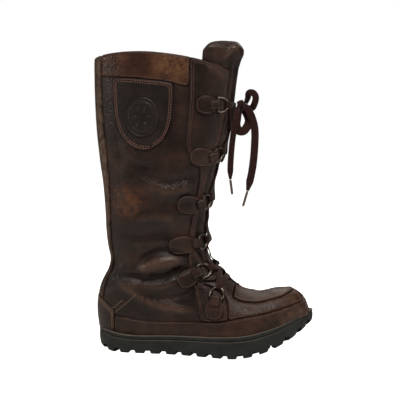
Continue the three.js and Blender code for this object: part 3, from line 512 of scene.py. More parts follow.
# Oiled full-grain cowhide: drum-tumbled to a pebbled grain and waxed. Crease ridges are lighter, partly wear
# and partly painted highlight; crease troughs are darkened with painted shade, and cut edges are darker.
# The pebbles are drawn at 3 mm, coarser than the real 1 mm, so that they show.
def leather(name, dark, body, light, scuff_and_sheen, scuff_and_sheen_at=(0.015, -0.038, 0.2), scuff_and_sheen_reach=0.03, gloss=0.42):
    made, tree = new_material(name)
    smooth = {"interpolation_type": "SMOOTHSTEP"}
    place = in_place(tree)
    fold, edge = read_marks(tree, "fold", "edge")
    cloud = noise(tree, place, 26.0, detail=5.0, roughness=0.62)
    broad = noise(tree, place, 9.0, detail=3.0, distortion=0.6)
    fine = noise(tree, place, 420.0, detail=3.0, roughness=0.7)
    scratch = noise(tree, place, 120.0, detail=6.0, roughness=0.8)
    pebble = add(tree, "ShaderNodeTexVoronoi", {"Vector": place, "Scale": 330.0, "Randomness": 0.95},
                 feature="DISTANCE_TO_EDGE").outputs["Distance"]
    tone = ramp(tree, cloud, (0.34, dark), (0.5, body), (0.72, light))
    shade = spread(tree, broad, (0.35, 0.68), (0.78, 1.14))
    shaded = dimmed(tree, tone, shade)
    # Crease ridges take a lighter colour, partly wear and partly a painted highlight; their roughness also
    # drops.
    ridge_wear_and_highlight = spread(tree, fold, (0.6, 3.2), (0.0, 0.7))
    # Crease troughs are darkened toward the dark colour: painted shade.
    trough_shade = spread(tree, fold, (-0.5, -2.6), (0.0, 0.6))
    ridge = blend(tree, maths(tree, "MULTIPLY", ridge_wear_and_highlight, scratch), shaded, linear("#6e5244"))
    trough = blend(tree, trough_shade, ridge, linear(dark))
    # A paler patch round one place: a real scuff on most leathers, but on the back strip, where it is wide, a
    # painted highlight.
    away = add(tree, "ShaderNodeVectorMath", {0: place, 1: scuff_and_sheen_at}, operation="DISTANCE").outputs["Value"]
    patch = spread(tree, away, (scuff_and_sheen_reach, scuff_and_sheen_reach * 0.25), (0.0, 1.0), **smooth)
    ragged = spread(tree, scratch, (0.42, 0.62), (0.0, 0.8))
    rubbed_and_sheen = blend(tree, maths(tree, "MULTIPLY", patch, ragged), trough, linear(scuff_and_sheen))
    cut_edge = blend(tree, spread(tree, edge, (0.9, 0.2), (0.0, 0.3)), rubbed_and_sheen, linear(dark))
    from_seam = maths(tree, "ABSOLUTE", maths(tree, "SUBTRACT", edge, SEAM_MARGIN))
    groove = spread(tree, from_seam, (0.0, 1.0), (0.0, 1.0), **smooth)
    round_edge = spread(tree, edge, (0.0, 1.6), (0.0, 2.0), **smooth)
    seam_bump = bump(tree, maths(tree, "ADD", groove, round_edge), 0.7, 0.0006)
    dull = spread(tree, cloud, (0.3, 0.7), (gloss - 0.04, gloss + 0.12))
    grain = spread(tree, pebble, (0.0, 0.28), (0.0, 1.0), **smooth)
    low_bump = bump(tree, cloud, 0.5, 0.003, Normal=seam_bump)
    grain_bump = bump(tree, grain, 0.4, 0.0005, Normal=low_bump)
    surface(tree, {"Base Color": cut_edge, "Roughness": maths(tree, "MULTIPLY_ADD", ridge_wear_and_highlight, -0.1, dull),
                   "Specular IOR Level": 0.34, "Normal": bump(tree, fine, 0.2, 0.0002, Normal=grain_bump)})
    return made


shaft_leather = leather("oiled_cowhide_shaft", "#120806", "#23130e", "#3d251b", "#64391f",
                        (0.012, -0.036, 0.203), 0.034, 0.36)
patch_leather = leather("oiled_cowhide_patch", "#0f0806", "#1a100c", "#291b15", "#3f2d24", gloss=0.42)
foot_leather = leather("oiled_cowhide_foot", "#1b0e09", "#2c1911", "#432a1d", "#634531",
                       (0.225, -0.02, 0.075), 0.06, 0.38)
collar_leather = leather("oiled_cowhide_collar", "#22110b", "#3a2115", "#5c3b26", "#7b583a",
                         (0.08, -0.04, 0.39), 0.04, 0.32)
# The back strip's paler, greyer tones and its wide pale patch are partly its own leather and partly a painted
# highlight on its rounded back.
strip_leather = leather("oiled_cowhide_back_strip", "#1b120e", "#2e211a", "#48372b", "#776150",
                        (-0.036, -0.012, 0.3), 0.26, 0.36)
tab_leather = leather("oiled_cowhide_tab", "#180c08", "#2a1812", "#452c22", "#664838",
                      (0.1, -0.04, 0.3), 0.02, 0.36)

# The upper: the leather shell that was stretched over the last, 2.4 mm thick, with the leather of
# each part sewn on it. It is open at the collar, down the throat and underneath, in the sole's cup.
WALL, OVERLAY, GAP, SEAM = 2.4, 1.6, 0.3, 0.4
SEWN_TOP = GAP + OVERLAY
LIP_HEIGHT, CUP_DEPTH = 28, 4
THROAT_BOTTOM, THROAT_HALF = 87, 21
FAR = 600
LIP_LINE = [(along_foot(x), z * LIP_HEIGHT) for x, z in [
    (0.000, 1.07), (0.062, 1.02), (0.127, 0.91), (0.209, 0.86), (0.346, 0.91), (0.579, 1.00),
    (0.709, 1.14), (0.818, 1.43), (0.901, 1.75), (0.945, 1.93), (1.000, 2.10)]]


def lip_height(x):
    """A smooth height through the lip's points."""
    xs, zs = np.array(LIP_LINE).T
    slopes = np.gradient(zs, xs)
    slopes[1:-1] = (zs[2:] - zs[:-2]) / (xs[2:] - xs[:-2])
    i = np.clip(np.searchsorted(xs, x) - 1, 0, len(xs) - 2)
    span = xs[i + 1] - xs[i]
    t = np.clip((x - xs[i]) / span, 0, 1)
    return ((2 * t ** 3 - 3 * t ** 2 + 1) * zs[i] + (t ** 3 - 2 * t ** 2 + t) * span * slopes[i]
            + (3 * t ** 2 - 2 * t ** 3) * zs[i + 1] + (t ** 3 - t ** 2) * span * slopes[i + 1])


def on_foot(*shares):
    return [(along_foot(x), z * INSTEP_HEIGHT) for x, z in shares]


def on_shaft(*shares):
    return [(along_shaft(x), z * SHAFT_HEIGHT) for x, z in shares]


COLLAR_LINE = on_shaft((-0.05, 0.985), (0.00, 0.985), (0.05, 0.990), (0.13, 0.996), (0.24, 1.000),
                       (0.39, 1.000), (0.53, 0.993), (0.67, 0.982), (0.80, 0.967), (0.90, 0.955),
                       (0.97, 0.935), (1.05, 0.915))
BAND_LINE = on_shaft((-0.05, 0.922), (0.13, 0.920), (0.28, 0.915), (0.50, 0.904), (0.71, 0.882),
                     (0.80, 0.870))
RAND_LINE = on_foot((-0.10, 0.335), (0.13, 0.333), (0.21, 0.297), (0.30, 0.287), (0.51, 0.307), (0.59, 0.310),
                    (0.675, 0.353), (0.777, 0.387), (0.863, 0.433), (0.955, 0.483), (1.10, 0.520))
VAMP_LINE = on_foot((0.634, 0.10), (0.634, 0.48), (0.580, 0.580), (0.538, 0.613), (0.493, 0.647))
EYESTAY_BACK = on_shaft((0.70, 1.10), (0.70, 0.84), (0.680, 0.745), (0.668, 0.690), (0.700, 0.650),
                        (0.765, 0.618), (0.752, 0.564), (0.718, 0.499), (0.690, 0.431), (0.675, 0.383),
                        (0.672, 0.311), (0.690, 0.262), (0.720, 0.235))
HEEL_LINE = on_foot((-0.20, 0.540), (0.005, 0.520), (0.100, 0.370), (0.100, -0.20), (-0.20, -0.20))
PATCH_LINE = on_shaft((0.155, 0.930), (0.158, 0.845), (0.174, 0.762), (0.242, 0.702), (0.375, 0.670),
                      (0.490, 0.692), (0.563, 0.745), (0.584, 0.807), (0.590, 0.930))
APRON_AREA = [(along_foot(x), y * BALL_WIDTH) for x, y in [
    (0.645, -0.30), (0.690, -0.31), (0.780, -0.30), (0.850, -0.24), (0.893, -0.13), (0.908, 0.04),
    (0.898, 0.21), (0.850, 0.31), (0.780, 0.36), (0.690, 0.34), (0.645, 0.32)]]
STRIP_LINE = on_shaft((0.068, 1.10), (0.068, 0.980), (0.063, 0.847), (0.100, 0.644), (0.121, 0.544),
                      (0.116, 0.366), (0.147, 0.296), (0.047, 0.200), (0.047, -0.20))
THROAT_AREA = [(half * THROAT_HALF, THROAT_BOTTOM + z * (SHAFT_HEIGHT - THROAT_BOTTOM)) for z, half in [
    (0, 0.15), (0.03, 0.45), (0.10, 0.80), (0.20, 1.00), (0.95, 0.95), (1.30, 0.90)]]
THROAT_AREA += [(-y, z) for y, z in reversed(THROAT_AREA)]


def rounded(points):
    """An open line with its corners cut, so that it runs as a pattern cutter would draw it."""
    for _ in range(2):
        cut_points = [points[0]]
        for (a0, b0), (a1, b1) in zip(points, points[1:]):
            cut_points += [(0.75 * a0 + 0.25 * a1, 0.75 * b0 + 0.25 * b1),
                           (0.25 * a0 + 0.75 * a1, 0.25 * b0 + 0.75 * b1)]
        points = cut_points + [points[-1]]
    return points


def collar_height(x):
    xs, zs = np.array(rounded(COLLAR_LINE)).T
    return np.interp(x, xs, zs)


class Fields:
    """All cut lines of the upper's leathers, as distances on one grid."""

    def __init__(self, grid):
        x, y = grid.point[..., 0], grid.point[..., 1]
        shell = np.minimum(grid.above(lambda at: lip_height(at) - CUP_DEPTH + GAP),
                           -grid.above(collar_height))
        throat = np.where(x > along_shaft(0.5), grid.outline(rounded(THROAT_AREA), "front"), -50)
        self.shell = np.minimum(shell, -throat)
        self.lateral, self.medial = -4 * y, 4 * y
        strip = grid.outline(rounded(STRIP_LINE) + [(-FAR, -FAR), (-FAR, FAR)])
        rand = grid.outline(rounded(RAND_LINE) + [(FAR, -FAR), (-FAR, -FAR)])
        heel = grid.outline(HEEL_LINE)
        band = grid.outline(BAND_LINE + [(along_shaft(0.80), FAR), (along_shaft(-0.05), FAR)])
        vamp = grid.outline(rounded(VAMP_LINE) + [(FAR, 0.69 * INSTEP_HEIGHT), (FAR, VAMP_LINE[0][1])])
        eyestay = grid.outline(rounded(EYESTAY_BACK) + on_foot((0.510, 0.267))
                               + [(FAR, 0), (FAR, EYESTAY_BACK[0][1])])
        apron = np.minimum(grid.outline(rounded(APRON_AREA + APRON_AREA[:1]), "top"),
                           grid.point[..., 2] - 0.3 * INSTEP_HEIGHT)

        def without(*others):
            return np.minimum.reduce([-other - SEAM for other in others])

        self.rand = np.minimum.reduce([self.shell, rand, without(heel)])
        self.heel_counter = np.minimum(self.shell, heel)
        self.apron = np.minimum.reduce([self.shell, apron, without(rand)])
        self.vamp = np.minimum.reduce([self.shell, vamp, without(rand, apron)])
        self.back_strip = np.minimum.reduce([self.shell, strip, without(heel, rand)])
        self.collar_band = np.minimum.reduce([self.shell, band, without(eyestay, strip)])
        self.eyestay = np.minimum.reduce([self.shell, eyestay, without(vamp, rand)])
        self.patch = np.minimum.reduce([self.shell, grid.outline(rounded(PATCH_LINE)), self.lateral,
                                        without(band, strip)])


PITCH = 2.9
whole = Grid(fan_steps(0.02, LAST_SECTION, PITCH), np.linspace(-math.pi, math.pi, 141))
lines = Fields(whole)
upper = leather_piece("upper_shell", whole, lines.shell, -WALL, 0)
finish(upper, shaft_leather, "dark_leather", "upper")


# The foot's leathers: rand along the sole, heel counter, vamp and the apron inside the toe seam,
# each 1.6 mm thick, cut, skived at the edge and sewn on the upper.
def toe_seam(fan, turn, far):
    """The toe's raised seam: the leathers are gathered up on both sides of it."""
    return 1.3 * np.exp(-((far - 1.2) / 1.6) ** 2)


for node, relief in [("rand", None), ("heel_counter", None), ("vamp", None), ("apron", toe_seam)]:
    piece = leather_piece(node + "_leather", whole, getattr(lines, node), 0, SEWN_TOP, relief)
    finish(piece, foot_leather, "foot_leather", node)

# The shaft's leathers: a strip up the back, a collar band on each side, an eyestay along each edge of
# the throat that reaches down to the rand, and a round-ended patch on the outer side.
piece = leather_piece("back_strip_leather", whole, lines.back_strip, 0, SEWN_TOP,
                      lambda fan, turn, far: 0.8 * np.clip(far / 6, 0, 1))
finish(piece, strip_leather, "dark_leather", "back_strip")
for side, half in [("lateral", lines.lateral), ("medial", lines.medial)]:
    piece = leather_piece("collar_leather_" + side, whole, np.minimum(lines.collar_band, half), 0, SEWN_TOP)
    finish(piece, collar_leather, "collar_leather", "collar_band_" + side)
    piece = leather_piece("eyestay_leather_" + side, whole, np.minimum(lines.eyestay, half), 0, SEWN_TOP)
    finish(piece, shaft_leather, "dark_leather", "eyestay_" + side)
piece = leather_piece("patch_leather", whole, lines.patch, 0, SEWN_TOP)
finish(piece, patch_leather, "dark_leather", "side_patch")

# Lining: soft pigskin glued inside the shaft and the foot, seen down the collar. It ends 1.5 mm
# inside the shell's edges, where the cut leather shows.
lining_skin, tree = new_material("pigskin_lining")
nap = add(tree, "ShaderNodeTexNoise", {"Scale": 300.0, "Detail": 4.0}).outputs["Fac"]
surface(tree, {"Base Color": linear("#6a5344"), "Roughness": 0.85, "Normal": bump(tree, nap, 0.4, 0.0004)})
lining = leather_piece("lining", whole, lines.shell - 1.5, -WALL - 0.7, -WALL - 0.1)
finish(lining, lining_skin, "insole_fabric")


# Tongue: a sheet inside the throat that bulges into it; it is taller than the collar and its top
# is turned outward, as the wearer's hand has pulled it.
TONGUE_THICKNESS, TONGUE_FOOT, TONGUE_BULGE, TONGUE_RISE = 2.6, 7, 4.8, 13
COLLAR_DIP = 0.985
TONGUE_HEIGHT = SHAFT_HEIGHT + TONGUE_RISE
TONGUE_TOP = [(along_shaft(x), z) for x, z in [
    (0.74, COLLAR_DIP * SHAFT_HEIGHT - 6), (0.79, SHAFT_HEIGHT + 0.1 * TONGUE_RISE),
    (0.84, SHAFT_HEIGHT + 0.9 * TONGUE_RISE), (0.92, TONGUE_HEIGHT)]]


def tongue_offset(fan, turn, far):
    """How far the tongue's face lies outside the last: it bulges in the throat and flares on top."""
    fade = np.clip((fan - TONGUE_FOOT - 0.8) / 1.8, 0, 1)
    bulge = np.interp(np.abs(turn), [0, 0.3, 0.4, 0.457, 0.52], [1, 1, 0.7, 0.12, 0])
    over = last_point(fan, turn)[..., 2] - COLLAR_DIP * SHAFT_HEIGHT
    turned = np.interp(over, [-14, -4, 4, 10, 15, 20], [0, 1.8, 4.6, 4.8, 1.6, -4.0])
    return turned + fade * bulge * TONGUE_BULGE


throat = Grid(fan_steps(TONGUE_FOOT, LAST_SECTION, 2.0), np.linspace(-1.12, 1.12, 45))
tongue_area = rounded(TONGUE_TOP) + [(FAR, TONGUE_HEIGHT), (FAR, -FAR), (-FAR, -FAR), (-FAR, SHAFT_HEIGHT)]
tongue_field = np.minimum(throat.outline(tongue_area), (1.1 - np.abs(throat.turn)) * 40)
tongue = leather_piece("tongue_leather", throat, tongue_field, -WALL - 2 * GAP - TONGUE_THICKNESS,
                       -WALL - 2 * GAP, tongue_offset)
finish(tongue, shaft_leather, "dark_leather", "tongue")

# Outsole: a moulded rubber cup with a thin lip, a stepped side, a ring of edge lugs and cross bars,
# cemented to the lasted upper. Its outline is a table of half widths along the sole.
TOE_SPRING, SPRING_START, SPRING_POWER, HEEL_BEVEL, BEVEL_START = 44, 145, 1.9, 8, -8
LUG_DEPTH, LUG_PITCH, LUG_GAP, LUG_REACH, TREAD_GROOVE, TREAD_SLOT = 4.2, 21.4, 8, 16, 4.5, 6
NOTCH_SECTION = [(-1.4 * LUG_DEPTH, 0.86), (1.35 * LUG_DEPTH, 0.42)]  # height, half width in lug gaps
SOLE_OUTLINE = [  # share of the length, outer side, inner side in half ball widths
    (0.0240, 0.385, 0.385), (0.0753, 0.615, 0.615), (0.1438, 0.725, 0.725), (0.2300, 0.740, 0.715),
    (0.3150, 0.731, 0.673), (0.4000, 0.760, 0.654), (0.4860, 0.837, 0.702), (0.5720, 0.933, 0.808),
    (0.6575, 1.000, 0.923), (0.7430, 0.990, 0.981), (0.8290, 0.875, 0.962), (0.8970, 0.663, 0.865),
    (0.9500, 0.375, 0.692), (0.9830, 0.060, 0.490)]
SOLE_SIDE = [  # share of the height, how far inside the outline in mm
    (0.00, 3.0), (0.05, 1.5), (0.12, 0.8), (0.30, 0.4), (0.50, 0.2), (0.70, 0.3), (0.745, 0.7), (0.765, 1.7),
    (0.79, 1.8), (0.815, 1.0), (0.845, 0.4), (0.93, 0.3), (0.97, 0.5), (0.99, 1.0), (1.00, 1.8)]


def floor_height(x):
    """The underside: it springs up to the toe and is bevelled at the heel."""
    spring = np.maximum(0, (x - SPRING_START) / (along_foot(1) - SPRING_START))
    bevel = np.maximum(0, (BEVEL_START - x) / (BEVEL_START + HEEL_REACH))
    return TOE_SPRING * spring ** SPRING_POWER + HEEL_BEVEL * bevel ** 1.6


def half_sole(row, side):
    return side * row[1 if side < 0 else 2] * BALL_WIDTH / 2


def sole_outline():
    """The sole's outline as evenly spaced points from the heel along the outer side and back."""
    points = [(along_foot(0), 0)] + [(along_foot(row[0]), half_sole(row, -1)) for row in SOLE_OUTLINE]
    points += [(along_foot(1), 0.16 * BALL_WIDTH / 2)]
    points += [(along_foot(row[0]), half_sole(row, 1)) for row in reversed(SOLE_OUTLINE)]
    rows = np.array(points + points[:1])
    rows = np.vstack([rows[-2:-1], rows, rows[1:2]])
    line = smooth_rows(rows, np.linspace(1, len(rows) - 2, 2000))
    return line, run_along(line)


SOLE_LINE, SOLE_RUN = sole_outline()


def sole_edge(share, inset):
    """A point of the outline by the share of the way round, moved inward."""
    at = (np.asarray(share) % 1) * SOLE_RUN[-1]
    here, ahead, behind = ([np.interp((at + step) % SOLE_RUN[-1], SOLE_RUN, SOLE_LINE[:, k]) for k in (0, 1)]
                           for step in (0, 1.5, -1.5))
    way = unit(np.stack(ahead, -1) - np.stack(behind, -1))
    return here[0] - way[..., 1] * inset, here[1] + way[..., 0] * inset


def closed_mesh(name, rings, low, high):
    """Rings of equal length joined by quads; low and high close the ends across the pairs."""
    count = len(rings[0])
    points = [p for ring in rings for p in ring]
    faces = wall_faces(len(rings), count)
    for ring, flip, rows in ((0, True, low), (len(rings) - 1, False, high)):
        half = count // 2
        lattice = {}
        for i in range(half + 1):
            a, b = ring * count + i, ring * count + (-i) % count
            if a == b:
                lattice[i] = [a] * (rows + 1)
                continue
            lattice[i] = [a]
            for j in range(1, rows):
                t = j / rows
                lattice[i].append(len(points))
                points.append(tuple(p + t * (q - p) for p, q in zip(points[a], points[b])))
            lattice[i].append(b)
        for i in range(half):
            for j in range(rows):
                face = [lattice[i][j], lattice[i][j + 1], lattice[i + 1][j + 1], lattice[i + 1][j]]
                face = list(dict.fromkeys(face))
                if len(face) > 2:
                    faces.append(face if flip else face[::-1])
    return make_mesh(name, points, faces)


def without(body, *tools):
    """Cuts the tools out of a body and removes them."""
    for tool in tools:
        cutting = body.modifiers.new("cut", "BOOLEAN")
        cutting.object = tool
        cutting.operation = "DIFFERENCE"
        cutting.solver = "MANIFOLD"
        cleared = bpy.data.meshes.new_from_object(body.evaluated_get(bpy.context.evaluated_depsgraph_get()))
        body.modifiers.remove(cutting)
        body.data = cleared
        bpy.data.objects.remove(tool)
    return body


def hexahedra(name, blocks):
    """Blocks of eight corners: four below and four above, both seen anticlockwise from above."""
    points, faces = [], []
    for block in blocks:
        k = len(points)
        points += block
        faces += [(k + 3, k + 2, k + 1, k), (k + 4, k + 5, k + 6, k + 7)]
        faces += [(k + i, k + (i + 1) % 4, k + 4 + (i + 1) % 4, k + 4 + i) for i in range(4)]
    return make_mesh(name, points, faces)


def sole_block():
    shares = np.arange(300) / 300
    rings = []
    for rise, inset in SOLE_SIDE:
        x, y = sole_edge(shares, inset)
        low, high = floor_height(x), lip_height(x)
        rings.append(np.stack([x, y, low + rise * (high - low)], -1).tolist())
    return closed_mesh("outsole_rubber", rings, 8, 8)


def last_block(offset):
    """The last up to the ankle as a solid, grown by an offset."""
    fans = fan_steps(0.02, 14, 3.5)
    turns = -np.arange(96) / 96 * 2 * math.pi
    fan, turn = np.meshgrid(fans, turns, indexing="ij")
    points = last_point(fan, turn) + last_normal(fan, turn) * offset
    points[..., 2] = np.maximum(points[..., 2], lip_height(points[..., 0]) - CUP_DEPTH)
    rings, count = len(fans), len(turns)
    ends = [points[0].mean(0).tolist(), points[-1].mean(0).tolist()]
    flat = points.reshape(-1, 3).tolist() + ends
    faces = wall_faces(rings, count)
    faces += [(rings * count, (k + 1) % count, k) for k in range(count)]
    top = (rings - 1) * count
    faces += [(rings * count + 1, top + k, top + (k + 1) % count) for k in range(count)]
    return make_mesh("last", flat, faces)


def edge_notches():
    """Wedge-shaped notches between the edge lugs, square to the outline and to the springing floor."""
    count = round(SOLE_RUN[-1] / LUG_PITCH)
    blocks = []
    for i in range(count):
        ends = [np.array([*sole_edge((i + 0.5) / count, inset), 0.0])
                for inset in (-LUG_GAP, LUG_REACH + TREAD_GROOVE / 3)]
        for end in ends:
            end[2] = floor_height(end[0])
        inward = (ends[1] - ends[0]) / np.linalg.norm(ends[1] - ends[0])
        sideways = np.array([-inward[1], inward[0], 0]) / np.hypot(inward[0], inward[1])
        up = np.cross(inward, sideways)
        block = []
        for depth, half in NOTCH_SECTION:
            block += [(end + up * depth + sideways * side * half * LUG_GAP).tolist()
                      for end, side in ((ends[0], -1), (ends[1], -1), (ends[1], 1), (ends[0], 1))]
        blocks.append(block)
    return hexahedra("notches", blocks)


def tread_half(x, side, inset):
    """Half width of the tread at x, moved inward from the outline."""
    xs = [along_foot(row[0]) for row in SOLE_OUTLINE]
    return np.interp(x, xs, [half_sole(row, side) for row in SOLE_OUTLINE]) - side * inset


def tread_slots():
    blocks = []
    reach = LUG_REACH + TREAD_GROOVE / 2
    for i in range(int((along_foot(1) - LUG_REACH) / LUG_PITCH)):
        x0 = (i + 0.5) * LUG_PITCH - TREAD_SLOT / 2
        x1 = x0 + TREAD_SLOT
        if x1 > along_foot(0.9):
            continue
        corners = [(x0, tread_half(x0, -1, reach)), (x1, tread_half(x1, -1, reach)),
                   (x1, tread_half(x1, 1, reach)), (x0, tread_half(x0, 1, reach))]
        blocks.append([(x, y, -LIP_HEIGHT) for x, y in corners]
                      + [(x, y, float(floor_height(x)) + LUG_DEPTH) for x, y in corners])
    return hexahedra("slots", blocks)


def side_grooves():
    """The groove behind the edge lugs, one run on each side."""
    stations = np.linspace(along_foot(0.07), along_foot(0.91), 60)
    points, faces = [], []
    for side in (-1, 1):
        start = len(points)
        for x in stations:
            floor = float(floor_height(x))
            near, far_in = tread_half(x, side, LUG_REACH), tread_half(x, side, LUG_REACH + TREAD_GROOVE)
            low_y, high_y = sorted((near, far_in))
            points += [(x, low_y, -LIP_HEIGHT), (x, high_y, -LIP_HEIGHT), (x, high_y, floor + LUG_DEPTH),
                       (x, low_y, floor + LUG_DEPTH)]
        for i in range(len(stations) - 1):
            a = start + 4 * i
            faces += [(a + k, a + 4 + k, a + 4 + (k + 1) % 4, a + (k + 1) % 4) for k in range(4)]
        faces += [(start, start + 1, start + 2, start + 3)]
        end = start + 4 * (len(stations) - 1)
        faces += [(end + 3, end + 2, end + 1, end)]
    return make_mesh("grooves", points, faces)


# Insole: a felt sheet 3 mm thick in the bottom of the outsole's cup, under the foot. It shows only
# from above, down the open shaft.
INSOLE_INSET = 9.5
x, y = sole_edge(np.arange(120) / 120, INSOLE_INSET)
x = np.minimum(x, along_foot(0.93))
rings = [np.stack([x, y, lip_height(x) - CUP_DEPTH + GAP + rise], -1).tolist() for rise in (0, 2.4, 3)]
finish(closed_mesh("insole_felt", rings, 6, 6), lining_skin, "insole_fabric", "insole")

outsole = without(sole_block(), edge_notches(), side_grooves(), tread_slots(),
                  last_block(GAP + OVERLAY + GAP))
if "sharp_face" in outsole.data.attributes:
    outsole.data.attributes.remove(outsole.data.attributes["sharp_face"])
outsole.data.shade_smooth()
outsole.data.set_sharp_from_angle(angle=math.radians(32))

# Black rubber gone greenish grey, and paler on what faces upward.
rubber, tree = new_material("moulded_rubber")
place = in_place(tree)
tone = ramp(tree, noise(tree, place, 60.0, detail=5.0, roughness=0.65), (0.35, "#141615"), (0.7, "#242827"))
facing = add(tree, "ShaderNodeSeparateXYZ", {"Vector": add(tree, "ShaderNodeNewGeometry").outputs["Normal"]})
# What faces upward is mixed toward a pale grey.
paler_facing_up = spread(tree, facing.outputs["Z"], (0.25, 0.9), (0.0, 0.65))
grit = bump(tree, noise(tree, place, 900.0, detail=2.0), 0.35, 0.0003)
surface(tree, {"Base Color": blend(tree, paler_facing_up, tone, linear("#6f675c")), "Roughness": 0.62,
               "Specular IOR Level": 0.35, "Normal": grit})
outsole.data.materials.clear()
finish(outsole, rubber, "sole_rubber", "outsole")

# Rings and tabs: six steel D-rings on each edge of the throat, each held by a leather tab whose neck is
# folded round the ring's straight bar and sewn down. Places are those of the ring's bar in the side view.
WIRE_RADIUS, RING_REACH, RING_HALF, RING_DROOP = 1.3, 15, 9.5, 0.2
TAB_HALF, TAB_NECK, FOLD_LEATHER = 12.5, 7.6, 1.3
TAB_FLOOR = GAP + OVERLAY + GAP
TAB_REACH, TAB_STEP = 32, 1.1  # the fine grid round a tab
TAB_SHAPE = [(0.22, 0.68), (0.40, 1), (0.72, 1), (0.93, 0.74), (1.02, 0.32)]  # shares of length, half width
RING_ROWS = [  # share of the shaft's depth, of its height, way the tab points in degrees, its length
    (0.880, 0.825, 180, 29), (0.850, 0.662, 183, 33), (0.765, 0.506, 186, 34),
    (0.735, 0.372, 187, 40), (0.760, 0.272, 209, 33), (0.885, 0.193, 262, 29)]


def closest(miss_of, turns):
    """The fan and turn on the last where a measure of its points is smallest."""
    fans = 4 + np.arange(60) * (LAST_SECTION - 5) / 60
    reach = 0.5
    while True:
        fan, turn = (a.ravel() for a in np.meshgrid(fans, turns, indexing="ij"))
        best = np.argmin(miss_of(last_point(fan, turn)))
        if reach < 1e-4:
            return fan[best], turn[best]
        steps = reach * (np.arange(9) - 4) / 4
        fans = np.clip(fan[best] + steps, 0.1, LAST_SECTION - 0.1)
        turns = turn[best] + steps * 0.3
        reach *= 0.4


def side_turns(side, count=30):
    """Turns down one side of the last, in equal steps from its front."""
    return -side * 0.06 * (1 + np.arange(count))


def seat(x, z, side):
    """The place on the last that shows at x and z in the side view, on one side."""
    return closest(lambda p: np.hypot(p[..., 0] - x, p[..., 2] - z), side_turns(side))


class RingFrame:
    """Where a ring sits: the middle of its bar, the way along it, ahead to its bow, and outward."""

    def __init__(self, row, side):
        x, z, degrees, self.length = row
        self.side = side
        self.fan, self.turn = seat(along_shaft(x), z * SHAFT_HEIGHT, side)
        self.angle = math.radians(degrees)
        self.normal = last_normal(self.fan, self.turn)
        ahead = np.array([-math.cos(self.angle), 0, -math.sin(self.angle)])
        ahead -= self.normal * (ahead @ self.normal)
        self.ahead = unit(ahead)
        self.bar = np.cross(self.normal, self.ahead)
        self.lean = self.ahead * math.cos(RING_DROOP) - self.normal * math.sin(RING_DROOP)
        self.over = np.cross(self.lean, self.bar)
        lift = TAB_FLOOR + OVERLAY + 2 * GAP + WIRE_RADIUS
        self.centre = last_point(self.fan, self.turn) + self.normal * lift

    def at(self, forward, along=0.0, up=0.0):
        return self.centre + self.lean * forward + self.bar * along + self.over * up


def tube(name, centres, radius, closed=False, sides=12):
    """A round wire or rod along points in mm."""
    line = np.asarray(centres, float)
    way = unit(np.roll(line, -1, 0) - np.roll(line, 1, 0) if closed else np.gradient(line, axis=0))
    out = unit(np.cross(way, np.linalg.svd(line - line.mean(0))[2][-1]))
    up = np.cross(out, way)
    turn = np.arange(sides) * 2 * math.pi / sides
    radius = np.broadcast_to(radius, len(line))
    points = line[:, None] + radius[:, None, None] * (np.cos(turn)[None, :, None] * out[:, None]
                                                       + np.sin(turn)[None, :, None] * up[:, None])
    faces = wall_faces(len(line), sides, closed)
    if not closed:
        faces += [tuple(range(sides))[::-1], tuple((len(line) - 1) * sides + k for k in range(sides))]
    return face_outward(make_mesh(name, points.reshape(-1, 3), faces))


def face_outward(made):
    bm = bmesh.new()
    bm.from_mesh(made.data)
    bmesh.ops.recalc_face_normals(bm, faces=bm.faces)
    bm.to_mesh(made.data)
    bm.free()
    return made


def ring_wire(name, held):
    turns = math.pi * (np.arange(37) / 36 - 0.5)
    bow = [held.at(RING_REACH * math.cos(t) ** 0.8, RING_HALF * math.sin(t)) for t in turns[1:-1]]
    corner = [(1.6, 0.985), (0.5, 0.93), (0.0, 0.84), (0.0, 0.6), (0.0, 0.3), (0.0, 0.0)]
    top = [held.at(f, a * RING_HALF) for f, a in corner]
    low = [held.at(f, -a * RING_HALF) for f, a in corner[:-1]]
    return tube(name, bow[1:-1] + top + low[::-1], WIRE_RADIUS, closed=True)


# Nickelled steel wire, dulled and browned by wear.
steel, tree = new_material("worn_nickelled_steel")
tarnish = noise(tree, in_place(tree), 180.0, detail=4.0)
surface(tree, {"Base Color": ramp(tree, tarnish, (0.38, "#40362f"), (0.62, "#8f877d")), "Metallic": 1.0,
               "Roughness": spread(tree, tarnish, (0.0, 1.0), (0.45, 0.2))})


def around(fan, turn, reach, pitch):
    """A fine grid of the last's surface round one place."""
    step = 0.01
    here = last_point(fan, turn)
    per_fan = np.linalg.norm(last_point(fan + step, turn) - here) / step
    per_turn = np.linalg.norm(last_point(fan, turn + step) - here) / step
    count = int(2 * reach / pitch)
    fans = np.clip(fan + np.linspace(-reach, reach, count) / per_fan, 0.05, LAST_SECTION)
    turns = turn + np.linspace(-reach, reach, count) / per_turn
    return Grid(np.unique(fans), turns)


def tab_outline(held):
    """The tab in the side view: a neck at the ring and a rounded tongue behind it."""
    def back(forward, up):
        return (held.centre[0] + forward * math.cos(held.angle) - up * math.sin(held.angle),
                held.centre[2] + forward * math.sin(held.angle) + up * math.cos(held.angle))
    half = [(-TAB_NECK, TAB_NECK), (2 * WIRE_RADIUS, TAB_NECK)]
    half += [(a * held.length, b * TAB_HALF) for a, b in TAB_SHAPE]
    corners = [back(f, u) for f, u in half] + [back(f, -u) for f, u in reversed(half)]
    return rounded(corners + corners[:1])


def tab_field(held, grid):
    beyond = WIRE_RADIUS - (grid.point - held.centre) @ held.ahead
    return np.minimum(grid.outline(tab_outline(held)), beyond)


